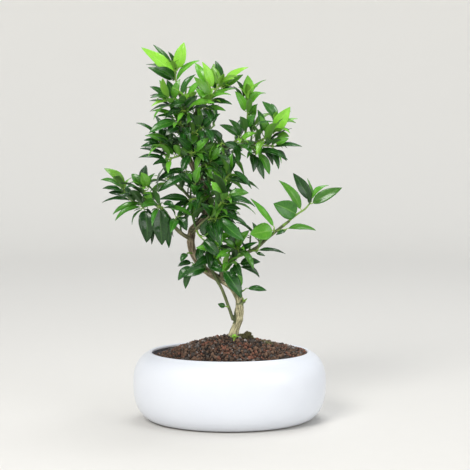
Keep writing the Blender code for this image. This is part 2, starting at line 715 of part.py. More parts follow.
def plan_crown():
    """Decide every shoot's leaves, so that no two of them touch."""
    crown = Crown()
    for rows in (TRUNK_PATH, *BRANCHES.values()):
        points = [Vector(row[:3]) * MM for row in rows]
        shell = Shell(*rough_shell(points, [row[3] * MM for row in rows]))
        crown.add("wood", shell, shell)
    stems = {}
    leaves = {}
    for label, (points, rows, count) in SHOOTS.items():
        stems[label] = Stem([seat_on_wood(Vector(points[0]))[0], *points[1:]])
        places = stems[label].places
        outside = [place * MM for place in places[len(places) // 3::2]]
        shell = Shell(*rough_shell(outside, [STEM_RADII[0] * MM] * len(outside)))
        crown.add(label, shell, shell)
    for label, (points, rows, count) in SHOOTS.items():
        leaves[label] = [crown.settle(label, leaf) for leaf in drawn_leaves(stems[label], rows)]
    for seed, (label, (points, rows, count)) in enumerate(SHOOTS.items()):
        chance = random.Random(seed)
        leaves[label] += [crown.settle(label, leaf)
                          for leaf in filling_leaves(stems[label], count, chance)
                          if not in_opening(leaf)]
    return {label: [leaf for leaf in found if leaf] for label, found in leaves.items()}


def seat_on_wood(foot):
    """The nearest point in the middle of the wood, and the limbs that a stem there stands in."""
    found = []
    for label, rows in {"trunk": TRUNK_PATH, **BRANCHES}.items():
        for a, b in zip(rows, rows[1:]):
            start, end = Vector(a[:3]), Vector(b[:3])
            along = (foot - start).dot(end - start) / (end - start).length_squared
            point = start.lerp(end, min(max(along, 0), 1))
            found.append(((foot - point).length, max(a[3], b[3]), label, point))
    nearest = min(found, key=lambda entry: entry[0])
    seat = nearest[3]
    near = {label for distance, radius, label, point in found
            if (seat - point).length < radius + 2 * STEM_RADII[0]}
    return seat, sorted(near)


def shoot(label, leaves, clearance_limbs):
    """One leafy shoot: its stem and leaves joined, and its foot seated on the wood."""
    name = f"shoot_{label}"
    seat, limbs_near = seat_on_wood(Vector(SHOOTS[label][0][0]))
    points = [seat, *SHOOTS[label][0][1:]]
    freshness = sum(leaf.freshness for leaf in leaves) / len(leaves)
    colour = Vector((0.02, 0.09, 0.03)).lerp(Vector((0.20, 0.42, 0.03)), freshness)
    foot, tip = STEM_RADII
    radii = [foot + (tip - foot) * index / (len(points) - 1) for index in range(len(points))]
    stem = tube(name, points, radii, material(f"{name}_green", colour, 0.4))
    blades = []
    for number, leaf in enumerate(leaves, 1):
        corners, faces = leaf.solid()
        mesh = bpy.data.meshes.new(f"{name}_leaf_{number}")
        mesh.from_pydata(corners, [], faces)
        blades.append(add_object(mesh.name, mesh))
    boolean(stem, "UNION", cutter_group(f"{name}_leaves", blades))
    for limb in limbs_near:
        boolean(stem, "DIFFERENCE", clearance_limbs[limb])
    return stem


# ---------------------------------------------------------------- pot

def pot_radius(z, inset=0.0, floor=0.0):
    """Half the pot's length at a height, at its outside or set in from it."""
    if z > POT_BELLY_HEIGHT:
        level = (z - POT_BELLY_HEIGHT) / POT_SHOULDER_RISE
        run, power = POT_SHOULDER_RUN, 2.4
    else:
        level = (POT_BELLY_HEIGHT - z) / (POT_BELLY_HEIGHT - floor)
        run, power = (POT_WIDTH - POT_FOOT_WIDTH) / 2, 2.5
    return POT_WIDTH / 2 - inset - run * (1 - (1 - level ** power) ** (1 / power))


def cavity_profile(inset, floor, top_levels=()):
    """The pot's inside as (radius, z), from the floor's edge up to the wall."""
    levels = [0, 0.03, 0.16, 0.45, 1.0]
    heights = [floor + (POT_BELLY_HEIGHT - floor) * level for level in levels]
    return [(pot_radius(z, inset, floor), z) for z in (*heights, *top_levels)]


def turned_oval(name, profile, finish):
    """Turn a profile into a round solid and press it to the pot's oval."""
    mesh = bpy.data.meshes.new(name)
    edges = [(k, k + 1) for k in range(len(profile) - 1)]
    mesh.from_pydata([(radius, 0, z) for radius, z in profile], edges, [])
    obj = add_object(name, mesh)
    screw = obj.modifiers.new("turn", "SCREW")
    screw.steps = POT_STEPS
    screw.render_steps = POT_STEPS
    screw.use_merge_vertices = True
    screw.merge_threshold = MERGE
    bpy.context.view_layer.update()
    evaluated = obj.evaluated_get(bpy.context.evaluated_depsgraph_get())
    turned = bpy.data.meshes.new_from_object(evaluated)
    obj.modifiers.clear()
    obj.data = turned
    turned.transform(Matrix.Diagonal((1, POT_DEPTH / POT_WIDTH, 1, 1)))
    turned.materials.append(finish)
    turned.shade_smooth()
    return obj


def cylinder(name, radius, height, centre):
    """An upright cylinder as a cutter."""
    bm = bmesh.new()
    bmesh.ops.create_cone(bm, cap_ends=True, segments=24, radius1=radius, radius2=radius,
                          depth=height, matrix=Matrix.Translation(centre))
    return as_cutter(add_object(name, mesh_from(name, bm)))


def drain_places():
    """Centres of the two drain holes, on the pot's floor."""
    return {"left": Vector((-DRAIN_SPACING / 2, 0, 0)), "right": Vector((DRAIN_SPACING / 2, 0, 0))}


def pot():
    """The glazed bowl with its soft lip and two drain holes."""
    inside = cavity_profile(POT_WALL, POT_FLOOR, (60 * MM, 70 * MM))
    mouth = POT_MOUTH_WIDTH / 2
    neck = POT_HEIGHT - POT_LIP
    shoulder = pot_radius(neck + 1.2 * MM)
    lip = [(mouth - 0.3 * MM, neck), (mouth, POT_HEIGHT - 0.6 * MM),
           ((mouth + shoulder) / 2, POT_HEIGHT), (shoulder - 0.6 * MM, POT_HEIGHT - 0.5 * MM)]
    heights = [neck + 1.2 * MM, 72 * MM, 65 * MM, 55 * MM, 43 * MM, 30 * MM, 18 * MM,
               9 * MM, 3 * MM, 0]
    outside = [(pot_radius(z), z) for z in heights]
    profile = [(0, POT_FLOOR), *inside, *lip, *outside, (0, 0)]
    bowl = turned_oval("pot", profile, material("white_glaze", (0.86, 0.88, 0.90), 0.2))
    for side, centre in drain_places().items():
        hole = cylinder(f"drain_hole_{side}", DRAIN_RADIUS, POT_FLOOR * 4, centre)
        boolean(bowl, "DIFFERENCE", hole)
    return bowl


def slab(name, width, thickness, bottom, centre, finish=None):
    """A square plate lying flat, with its underside at the given height."""
    bm = bmesh.new()
    bmesh.ops.create_cube(bm, size=1.0)
    place = Matrix.Translation((centre.x, centre.y, bottom + thickness / 2))
    bmesh.ops.transform(bm, matrix=place @ Matrix.Diagonal((width, width, thickness, 1)),
                        verts=bm.verts)
    return add_object(name, mesh_from(name, bm), finish)


def drain_screen(side, centre):
    """A square of plastic mesh over a drain hole."""
    black = material(f"screen_plastic_{side}", (0.03, 0.03, 0.03), 0.6)
    bottom = POT_FLOOR + GAP
    screen = slab(f"drain_screen_{side}", SCREEN_SIDE, SCREEN_THICKNESS, bottom, centre, black)
    pitch = SCREEN_SIDE / (SCREEN_HOLES + 0.6)
    offsets = [(k - (SCREEN_HOLES - 1) / 2) * pitch for k in range(SCREEN_HOLES)]
    holes = [slab(f"screen_hole_{side}_{i}_{j}", SCREEN_HOLE, SCREEN_THICKNESS * 3,
                  bottom - SCREEN_THICKNESS, centre + Vector((x, y, 0)))
             for i, x in enumerate(offsets) for j, y in enumerate(offsets)]
    boolean(screen, "DIFFERENCE", cutter_group(f"screen_holes_{side}", holes))
    return screen


# ---------------------------------------------------------------- soil

def heap_height(x, y):
    """The soil's height at a place inside the pot: a mound that leans to +X."""
    reach = math.hypot(x, y * POT_WIDTH / POT_DEPTH) / (POT_WIDTH / 2 - POT_WALL)
    edge = SOIL_EDGE + SOIL_TILT * x
    return edge + (SOIL_PEAK - edge) * max(0.0, 1 - reach ** SOIL_SLOPE)


def soil(clearance_limbs, seats):
    """The heap of granules as one body, with seats for the trunk and what lies in it."""
    inset = POT_WALL + GAP
    side = cavity_profile(inset, POT_FLOOR + GAP, (60 * MM,))
    rim = pot_radius(SOIL_EDGE, inset)
    lumpy = rim * SOIL_LUMPY
    top = [(lumpy * (1 - ring / SOIL_RINGS), SOIL_PEAK) for ring in range(SOIL_RINGS + 1)]
    profile = [(0, POT_FLOOR + GAP), *side, (rim, SOIL_PEAK), *top]
    heap = turned_oval("soil", profile[::-1], material("lava_granules", (0.07, 0.035, 0.03), 0.9))
    chance = random.Random(3)
    for vertex in heap.data.vertices:
        if vertex.co.z > SOIL_PEAK - MERGE:
            across = math.hypot(vertex.co.x, vertex.co.y * POT_WIDTH / POT_DEPTH)
            lump = chance.uniform(-SOIL_LUMP, SOIL_LUMP) if across < lumpy * 0.99 else 0.0
            vertex.co.z = heap_height(vertex.co.x, vertex.co.y) + lump
            if across > rim * 0.99:
                vertex.co.z = SOIL_EDGE + SOIL_TILT * vertex.co.x
                fit = pot_radius(vertex.co.z, inset + SOIL_RIM_GAP) / across
                vertex.co.x *= fit
                vertex.co.y *= fit
    boolean(heap, "DIFFERENCE", cutter_group("soil_seats", [clearance_limbs["trunk"], *seats]))
    return heap


def pebble(name, centre, size, finish=None, grow=0.0):
    """A low rounded lump, a little uneven."""
    bm = bmesh.new()
    bmesh.ops.create_icosphere(bm, subdivisions=2, radius=1.0)
    chance = random.Random(5)
    for vertex in bm.verts:
        swell = 1 + chance.uniform(-0.06, 0.06)
        for k in range(3):
            vertex.co[k] = centre[k] * MM + vertex.co[k] * (size[k] * MM * swell + grow)
    return add_object(name, mesh_from(name, bm), finish)


def sprout(finish, grow=0.0, name="sprout"):
    """A seedling in front of the trunk: a short stem with three small leaves."""
    foot = Vector((4, -16, 85.5))
    top = Vector((5, -16, 93.5))
    stem = tube(name, [foot, (foot + top) / 2, top], (0.9, 0.8, 0.7), finish, 1, grow)
    if grow:
        return stem
    blades = []
    for number, (x, y, z) in enumerate(((7, -2, 4), (-6, -3, 4), (1, 5, 6)), 1):
        reach = Vector((x, y, z))
        normal = (Vector((0, 0, 1)) - reach * reach.z / reach.length_squared).normalized()
        leaf = Leaf(top - Vector((0, 0, 1)), top + reach * 0.25, top + reach, 3.4, normal, NEW)
        corners, faces = leaf.solid()
        mesh = bpy.data.meshes.new(f"{name}_leaf_{number}")
        mesh.from_pydata(corners, [], faces)
        blades.append(add_object(mesh.name, mesh))
    boolean(stem, "UNION", cutter_group(f"{name}_leaves", blades))
    return stem


def ground_pieces(clearance_limbs):
    """Everything in the pot's mouth and on its floor."""
    moss_place = (18, -4, 94.5)
    moss_size = (6.5, 5.5, 4.5)
    pebble("moss_clump", moss_place, moss_size, material("moss", (0.10, 0.11, 0.03), 0.95))
    sprout(material("sprout_green", (0.25, 0.45, 0.05), 0.4))
    seats = [pebble("moss_seat", moss_place, moss_size, grow=GAP),
             sprout(None, GAP, "sprout_seat")]
    for side, centre in drain_places().items():
        drain_screen(side, centre)
        seats.append(slab(f"screen_seat_{side}", SCREEN_SIDE + 2 * GAP,
                          SCREEN_THICKNESS + 3 * GAP, POT_FLOOR - GAP, centre))
    soil(clearance_limbs, seats)


def main():
    clear_scene()
    clearance_limbs = limbs("clearance", GAP)
    for limb in clearance_limbs.values():
        as_cutter(limb)
    wood(material("bark", (0.20, 0.15, 0.10), 0.8))
    pot()
    ground_pieces(clearance_limbs)
    for label, leaves in plan_crown().items():
        shoot(label, leaves, clearance_limbs)


main()
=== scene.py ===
"""Looks of the citrus bonsai: glazed pot, lava granules, bark, young stems and glossy leaves.

Metres, +Z up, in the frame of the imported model. Tables of points are in millimetres and are
scaled by MM where they are used. The tables and the crown's planning repeat those that the
solids were made with, so each fine leaf lies where its solid one does. The leaves that only
this script draws are settled after those, clear of all that is already there.
"""
import math
import random
from copy import copy
from itertools import product

import bmesh
import bpy
import numpy as np
from mathutils import Matrix, Quaternion, Vector, noise
from mathutils.bvhtree import BVHTree
from mathutils.kdtree import KDTree


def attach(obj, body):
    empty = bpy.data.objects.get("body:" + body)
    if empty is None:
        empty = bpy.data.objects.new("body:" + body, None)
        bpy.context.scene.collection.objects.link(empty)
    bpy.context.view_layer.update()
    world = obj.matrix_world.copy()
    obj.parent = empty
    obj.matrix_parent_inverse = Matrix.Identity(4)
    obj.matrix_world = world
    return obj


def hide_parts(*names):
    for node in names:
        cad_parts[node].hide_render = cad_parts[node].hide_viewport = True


MM = 0.001

# Pot
POT_WIDTH = 215 * MM
POT_DEPTH = 175 * MM
POT_HEIGHT = 77 * MM
POT_FOOT_WIDTH = 152 * MM
POT_MOUTH_WIDTH = 174 * MM
POT_BELLY_HEIGHT = 43 * MM
POT_SHOULDER_RUN = 30 * MM
POT_SHOULDER_RISE = 35 * MM
POT_CURVES = (2.4, 2.5)     # powers of the curves above and below the belly; 2 is an ellipse
POT_WALL = 6 * MM
POT_NECK = POT_HEIGHT - 2.6 * MM    # where the rounded lip begins
POT_FLOOR = 8 * MM
POT_SIDES = 160             # facets round the pot
POT_OVAL = POT_DEPTH / POT_WIDTH
DRAIN_SPACING = 70 * MM
DRAIN_RADIUS = 7 * MM

# Soil and what lies in it
SOIL_PEAK = 95.5 * MM
SOIL_EDGE = 67.5 * MM
SOIL_TILT = 0.05            # the heap is higher towards +X
SOIL_SLOPE = 1.3            # shape of its flanks; 1 would make it a cone
SOIL_SINK = 2.4 * MM        # how far the dark bed lies below the granules' tops
SOIL_RINGS = 34             # rings of the bed's top
SOIL_WALL = POT_WALL + 0.8 * MM     # how far in from the pot's outside the bed ends
GRANULE_RADII = (1.1, 2.9)      # mm
GRANULE_TRIALS = 15000
GRANULE_SINKS = (0.3, 1.6)  # mm; how far they lie below the heap: most, and the deep ones
DEEP_SHARE = 0.3
GRANULE_APART = 0.76        # how close two may lie, as a share of both radii
GRANULE_SWELL = 1.12        # how much larger they are drawn than their places
GRANULE_COLOURS = {"brown": 0.52, "dark": 0.26, "red": 0.14, "grey": 0.08}
FINE_GRANULE = 1.95         # mm; larger ones get finer meshes, but not behind this y
FINE_BACK = 30
LICHEN = (42, 2, 9, 16)     # where granules are greener: x, y, reach along x and y, mm
ROOM_FOR_TRUNK = (4.5, 0, 5.4)      # no granules there: x, y, radius, mm
ROOM_FOR_SPROUT = (4, -16, 2.2)
ROOM_FOR_MOSS = (18, -4, 94.5, 5.5)     # x, y, z, radius
MOSS_LOBES = ((14, -4, 93.2, 3.6), (20, -4, 95.3, 3.9), (17, -6, 93.5, 3.8),
              (23.5, -4, 92.6, 2.8))
MOSS_TUFTS = 240            # trials a lobe

# Leaves and stems
LEAF_THICKNESS = 0.8 * MM   # of the solid leaves, for the clearance tests
PETIOLE_WIDTH = 1.0 * MM
LEAF_FOLD = 0.16            # how far the edges rise, as a share of the half width
LEAF_ARCH = 0.13            # how far the midrib bulges, as a share of the length
LEAF_SECTIONS = ((0.0, 0.14), (0.34, 0.97), (0.70, 0.72))   # share of length, of width
CLEARANCE = 0.5 * MM
STEM_RADII = (1.25, 0.85)   # at the foot and at the tip of a shoot, mm
PATH_STEPS = 8              # places for leaves between two points of a stem
SHELL_SIDES = 6             # of the rough shells for the clearance tests
TRIED_SCALES = (1.0, 0.85, 0.7)     # what a leaf may change to find room
TRIED_ROLLS = (0, 20, -20, 40, -40)
TRIED_DEPTHS = (0, -4, 4, -8, 8, -12, 12, -17, 17)
GOLDEN_ANGLE = 137.5        # degrees from one leaf of a spiral to the next
BLADE_STEPS = 11            # fine leaf: places along it
BLADE_ACROSS = (-1, -0.7, -0.36, -0.08, 0.08, 0.36, 0.7, 1)
BLADE_HALF = 0.2 * MM       # half its thickness at the midrib
BROAD_LEAF = 16 * MM        # wider leaves keep their whole width
SLIM = 0.86                 # share of the solid leaf's width that others show
FILLING_LENGTHS = (28, 40)      # mm
MORE_LEAVES, MORE_LENGTHS = 9, (22, 38)     # trials a shoot, mm
TWIG_LEAVES, TWIG_LENGTHS = 8, (20, 36)     # trials a twig, mm
TWIG_START = 172            # mm; no twigs grow below

OLD, MID, NEW = 0.0, 0.5, 1.0
AGES = {"OLD": OLD, "MID": MID, "NEW": NEW}

# First seeds of the random draws
SEEDS = {"blades": 100, "tips": 300, "more": 500, "twigs": 700, "twig blades": 900,
         "spots": 11, "granules": 12, "moss": 5, "sprout": 9}


def table(text):
    """Rows of numbers by name, as name: row, row; where a slash parts groups of rows."""
    found = {}
    for block in text.split(";")[:-1]:
        name, groups = block.split(":")
        groups = [[tuple(AGES[word] if word in AGES else float(word) for word in row.split())
                   for row in group.split(",") if row.strip()] for group in groups.split("/")]
        found[name.strip()] = groups if len(groups) > 1 else groups[0]
    return found


# The limbs: x, y, z, radius
WOOD = table("""
trunk: 3 1 76 8.5, 4 1 88 7, 5 0 98 5.2, 9 0 110 4.7, 10.5 -1 120 5.4, 11 -1 130 4.2,
8.5 0 141 4.8, 2 1 150 4.5, -8 2 156 4.3, -20 4 162 4.1, -30 4 170 4, -38 4 180 3.8, -42 3 191 4,
-43 2 202 4.4, -41 1 212 4.3, -33 0 221 3.8, -26 -1 231 3.5, -23 -1 242 3.2, -25 0 256 3.1,
-32 2 268 3.2, -40 3 281 3.1, -46 3 295 2.9, -48 1 310 2.6, -46 -1 330 2.1, -50 -2 348 1.8,
-56 -1 364 1.5;
lower_right: -9 2 158 2.4, -9 0 168 2.3, -4 -2 176 2.2, 6 -3 182 2.1, 18 -4 187 2, 30 -6 193 1.9,
41 -7 203 1.8, 52 -8 212 1.7, 66 -9 223 1.5;
left: -43 2 203 2.4, -51 -2 207 2.2, -59 -5 214 2.1, -66 -7 225 1.9, -76 -8 237 1.7,
-88 -9 243 1.5, -101 -9 241 1.3;
right: -47 2 301 2.2, -37 4 305 2, -24 5 304 1.9, -10 5 305 1.8, 4 5 305 1.7, 18 4 307 1.6,
34 3 311 1.3;
top: -46 -1 331 1.9, -39 -4 340 1.8, -31 -6 349 1.6, -21 -8 360 1.3;
upper_left: -46 3 294 1.9, -53 -3 299 1.8, -62 -7 303 1.5;
lower_rear: -40 4 184 2.4, -31 16 193 2.2, -19 31 206 1.9, -7 44 220 1.6;
left_rear: -27 -1 230 2.2, -37 13 239 2, -48 28 250 1.7, -58 40 261 1.4;
upper_rear: -47 2 300 2, -40 14 309 1.8, -30 27 320 1.5;
lower_front: -41 1 210 2.3, -34 -12 217 2.1, -25 -23 226 1.8, -16 -31 236 1.5;
middle_front: -25 0 255 2.1, -18 -10 261 1.8, -10 -19 267 1.5;
sucker: 4 -1 112 1.9, 0 -4 124 1.8, -4 -5 135 1.8, -9 -5 148 1.7, -15 -4 158 1.6, -22 -5 172 1.4,
-27 -8 183 1.2;
stub: 11 -1 130 2, 17 -2 133 1.7;
""")

# Openings in the crown, where no filling leaf lies: centre x, z, half width, half height
OPENINGS = [(-3, 328, 14, 24), (20, 278, 14, 10), (24, 227, 12, 9), (-56, 186, 22, 14),
            (-108, 224, 10, 8), (-58, 252, 14, 9), (-82, 290, 12, 7)]

# Shoots: how many more leaves fill it / the stem's points (x, y, z) / its leaves.
# A leaf is the blade's base (x, z) and tip (x, z), its width, its roll in degrees
# (0 faces the front, 90 faces up), how far its tip lies behind the stem, and its freshness.
SHOOTS = table("""
top_left_1: 1 / -55 -1 362, -59 0 376, -61 1 389 / -57 392 -50 420 15 15 -4 NEW,
-62 387 -97 414 15 35 -9 NEW, -63 391 -85 418 12 30 9 MID, -60 390 -68 410 9 55 2 OLD,
-62 381 -93 396 9 55 6 OLD, -61 380 -82 391 13 30 -4 OLD, -58 379 -33 400 10 50 3 MID;
top_left_2: 2 / -49 -2 345, -59 -8 350, -68 -11 357 / -69 358 -77 378 12 25 -2 MID,
-69 360 -89 365 11 40 -10 MID, -68 355 -88 361 9 45 6 OLD, -66 351 -88 355 8 60 -3 OLD,
-61 358 -54 379 13 20 -6 NEW;
top_left_3: 3 / -48 -2 340, -46 -11 347, -46 -17 356 / -52 362 -37 384 10 40 0 OLD,
-45 360 -30 378 9 40 -5 MID, -48 352 -66 349 12 35 -6 OLD;
top_middle_1: 1 / -26 -7 355, -17 -9 364, -12 -9 372 / -19 371 -30 398 12 15 -6 NEW,
-12 374 -19 394 13 15 -1 NEW, -10 375 -16 400 11 35 9 OLD, -6 374 21 392 10 40 -3 NEW,
-8 370 3 386 10 30 8 OLD;
top_middle_2: 1 / -35 -5 345, -29 -13 349, -22 -19 356 / -22 360 -39 381 13 25 -5 NEW,
-19 358 7 368 10 50 -4 MID, -18 353 3 351 9 55 -7 OLD, -23 347 -4 344 10 35 -7 MID,
-28 355 -37 368 10 30 -10 MID;
top_right_1: 3 / 13 4 306, 18 3 322, 20 2 340, 20 1 358 / 20 361 20 384 13 10 -2 NEW,
16 360 7 378 9 50 -5 OLD, 23 365 41 379 9 60 4 MID, 23 355 35 365 12 15 -7 NEW,
17 345 6 366 12 30 -5 MID, 22 342 31 352 11 30 -9 OLD, 20 327 27 341 13 20 -10 OLD;
right_1: 2 / 31 3 310, 42 2 316, 49 1 323, 51 0 333 / 51 322 67 349 19 5 -8 NEW,
50 338 36 355 11 30 0 OLD, 43 321 33 339 13 25 -9 NEW, 54 332 74 331 9 55 6 MID,
52 318 66 316 10 40 -3 MID;
right_2: 1 / 27 3 309, 38 -4 306, 48 -8 306 / 51 309 65 314 10 25 -5 NEW,
50 305 80 305 9 55 -4 OLD, 51 301 63 289 9 40 1 OLD, 43 303 54 280 10 40 -6 OLD,
37 304 48 284 9 35 4 OLD;
right_3: 2 / 22 4 308, 26 -3 302, 29 -8 297 / 29 294 38 269 10 30 -4 OLD,
32 297 44 274 11 25 4 MID, 25 297 26 277 12 25 -9 OLD;
right_4: 2 / 0 5 305, 5 -2 309, 10 -7 314 / 9 317 -11 329 10 35 -3 OLD, 12 318 -1 335 9 35 4 OLD,
6 310 -22 307 10 45 -4 OLD, 14 312 30 320 10 40 -5 MID;
upper_left_1: 2 / -57 -5 301, -67 -9 306, -76 -11 309 / -67 309 -93 317 13 40 -8 MID,
-73 304 -98 305 10 40 3 OLD, -80 315 -103 331 9 65 1 MID, -74 313 -72 327 11 25 -6 OLD;
upper_left_2: 2 / -50 0 297, -58 -11 294, -67 -15 291 / -71 291 -100 293 9 55 -3 OLD,
-69 288 -84 285 9 40 -7 OLD, -62 297 -76 305 10 35 -6 MID;
upper_left_3: 2 / -47 0 320, -52 -9 328, -58 -13 334 / -59 333 -88 320 12 40 -7 MID,
-62 337 -86 344 10 45 3 NEW, -57 338 -66 352 11 30 -5 MID, -55 328 -70 317 12 25 -10 OLD;
left_1: 2 / -96 -9 242, -107 -9 245, -114 -9 252, -118 -9 260 / -117 263 -138 281 13 25 -5 NEW,
-120 261 -143 268 9 50 4 MID, -119 256 -140 259 9 55 -4 OLD, -115 251 -134 254 9 50 5 OLD,
-111 246 -141 243 9 55 -2 OLD;
left_2: 2 / -91 -9 243, -94 -14 251, -95 -16 260 / -91 262 -97 277 14 15 -4 NEW,
-99 262 -108 275 12 30 4 MID, -89 260 -82 276 9 40 3 MID, -92 255 -86 244 12 20 -6 NEW;
left_3: 1 / -94 -9 242, -94 -17 241, -95 -22 238 / -93 235 -91 200 17 10 -3 OLD,
-90 237 -86 197 12 30 7 OLD, -98 239 -125 224 9 50 -5 MID, -99 242 -129 230 9 50 4 MID;
left_4: 1 / -79 -8 239, -78 -16 240, -76 -21 239 / -76 236 -74 197 18 10 -3 OLD,
-73 237 -67 193 13 25 8 OLD, -80 243 -96 240 13 30 -6 MID, -72 243 -60 240 9 40 -7 OLD;
left_5: 2 / -23 -1 247, -33 -10 248, -43 -14 247 / -46 247 -78 247 12 35 -5 OLD,
-42 243 -64 236 10 40 4 OLD, -37 253 -42 264 12 25 -6 NEW;
left_6: 2 / -62 -6 219, -60 -13 224, -58 -17 228 / -57 227 -47 213 13 25 -5 OLD,
-62 225 -62 205 11 30 4 OLD;
left_7: 1 / -36 2 275, -42 -8 277, -48 -12 278 / -50 280 -81 265 11 50 -2 OLD,
-48 274 -79 255 17 30 -8 OLD;
lower_left_1: 1 / -24 4 165, -28 -4 168, -27 -10 171 / -27 171 -51 162 18 20 -6 OLD;
lower_left_2: 0 / -33 4 174, -37 -4 175, -41 -9 174 / -43 172 -57 157 12 30 -6 OLD,
-41 170 -49 147 11 35 3 OLD, -43 176 -58 171 10 45 7 OLD;
lower_left_3: 1 / -40 4 185, -44 -3 187, -47 -7 187 / -47 186 -54 178 10 40 -4 MID;
lower_right_1: 0 / 59 -8 218, 74 -10 230, 83 -10 236, 89 -10 243 / 92 243 124 260 15 25 -5 NEW,
89 247 70 276 15 15 3 OLD, 88 243 84 254 7 35 -7 OLD, 78 237 54 268 13 20 -2 NEW,
73 231 48 243 19 5 -7 NEW;
lower_right_2: 0 / 47 -7 208, 49 -12 211, 49 -16 215 / 48 218 23 248 10 45 3 MID,
47 213 22 209 18 10 -7 NEW;
lower_right_3: 0 / 52 -8 212, 58 -11 213, 63 -13 214 / 65 215 95 213 10 50 -4 MID,
61 212 51 208 6 40 -6 OLD;
lower_right_4: 0 / 33 -6 196, 33 -10 199, 32 -14 203 / 32 204 25 222 9 35 -3 OLD;
lower_right_5: 1 / 24 -5 190, 27 -10 190, 31 -14 190 / 33 191 62 187 8 50 -4 OLD,
30 188 39 185 5 30 -6 OLD;
lower_right_6: 1 / 3 -3 180, 6 -8 178, 10 -13 175 / 12 176 34 178 12 35 -3 OLD,
13 172 33 160 9 45 4 OLD, 9 171 2 161 12 25 -7 OLD;
lower_right_7: 1 / -9 0 169, -9 -8 170, -7 -13 169 / -5 167 13 138 14 15 -4 OLD;
lower_right_8: 0 / 9 0 139, 13 -6 144, 16 -9 146 / 21 148 41 146 9 50 -3 OLD;
sucker_1: 0 / -1 -4 127, -4 -8 128 / -5 128 -13 131 6 25 -2 MID;
centre_1: 3 / -13 -15 265, -5 -22 270, 1 -25 276 / 5 278 24 259 9 35 -6 OLD,
1 270 19 264 9 40 -7 OLD, -4 267 -18 257 13 20 -9 NEW, 0 280 3 298 11 25 -4 MID;
centre_2: 3 / -19 -28 233, -10 -35 243, -3 -38 251 / 1 251 28 240 8 50 -4 OLD,
0 254 21 255 11 35 4 MID, -6 247 21 244 8 50 -9 OLD, -8 253 -20 268 12 20 -6 NEW;
centre_3: 3 / -29 -18 222, -21 -27 226, -14 -32 227 / -11 226 16 203 15 20 -5 MID,
-15 223 -12 203 14 15 -10 NEW, -20 231 -31 245 12 30 -6 OLD, -10 231 20 218 8 50 5 OLD;
centre_4: 2 / -37 -6 214, -34 -14 208, -30 -20 204 / -28 202 -10 184 14 20 -6 OLD,
-30 209 -24 226 12 25 -8 OLD;
centre_5: 2 / -25 -7 180, -20 -13 187, -15 -17 194 / -13 196 -8 213 11 20 -5 NEW,
-17 190 3 186 12 25 -7 MID, -14 200 6 211 10 30 -4 MID;
centre_6: 1 / 8 -3 183, 9 -10 188, 8 -15 193 / 9 195 14 210 11 25 -5 NEW,
5 194 -8 204 10 30 -5 MID, 12 191 31 200 9 40 -4 OLD;
centre_7: 3 / -38 3 277, -30 -8 284, -21 -13 289 / -20 291 -8 305 11 25 -6 MID,
-17 288 8 290 13 30 -6 OLD, -26 283 -15 268 12 20 -9 MID;
centre_8: 2 / -47 0 315, -38 -9 321, -30 -14 326 / -28 327 -10 341 12 30 -6 OLD,
-27 324 -18 309 12 25 -8 OLD, -36 317 -49 305 13 25 -9 MID, -33 328 -44 340 12 30 -5 OLD;
centre_9: 1 / -43 3 288, -43 -7 292, -41 -15 299 / -42 302 -57 316 12 25 -8 OLD,
-38 300 -22 315 11 30 -5 MID, -44 295 -52 277 12 30 -9 OLD;
centre_10: 1 / -47 0 336, -49 -9 342, -51 -17 345 / -53 346 -70 336 11 30 -7 OLD,
-48 349 -35 361 12 25 -7 OLD, -50 343 -38 330 12 25 -10 MID;
centre_11: 1 / -17 5 304, -13 -5 308, -8 -12 309 / -5 309 14 300 12 30 -7 OLD,
-9 312 -21 324 11 30 -4 OLD, -12 306 -30 299 12 25 -9 MID;
centre_12: 1 / -24 -1 251, -33 -11 258, -39 -18 264 / -41 266 -56 276 12 30 -6 OLD,
-37 266 -31 284 12 25 -6 MID, -34 260 -22 247 12 25 -9 OLD;
rear_1: 6 / -13 38 213, -3 46 222, 6 50 232 /;
rear_2: 5 / -25 23 200, -20 36 199, -14 44 195 /;
rear_3: 6 / -53 34 256, -63 42 262, -71 47 268 /;
rear_4: 6 / -43 21 245, -35 34 247, -27 42 251 /;
rear_5: 6 / -35 20 315, -25 31 322, -17 37 329 /;
rear_6: 6 / -44 7 304, -50 20 308, -57 29 311 /;
rear_7: 6 / -12 5 305, -8 16 302, -3 25 297 /;
rear_8: 6 / -28 1 262, -22 12 268, -14 21 275 /;
""")

# Where foliage is dense, as ellipses: centre x, z, half width, half height, mm
DENSE = [(-50, 335, 40, 34), (-24, 348, 28, 26), (-38, 308, 46, 22), (34, 320, 38, 30),
         (-16, 272, 38, 26), (-12, 240, 34, 26), (-102, 254, 28, 16), (4, 200, 30, 22),
         (-78, 306, 20, 14), (-10, 176, 26, 14)]
# Openings in the foliage that show the trunk or the light behind it
OPEN = [(-60, 255, 16, 10), (-55, 220, 14, 14), (-34, 206, 12, 24), (-40, 166, 16, 12),
        (-74, 285, 24, 9), (50, 268, 26, 16), (20, 278, 19, 11), (-3, 325, 15, 19),
        (22, 232, 12, 8), (24, 205, 9, 9), (-43, 284, 7, 11), (-28, 270, 6, 7)]
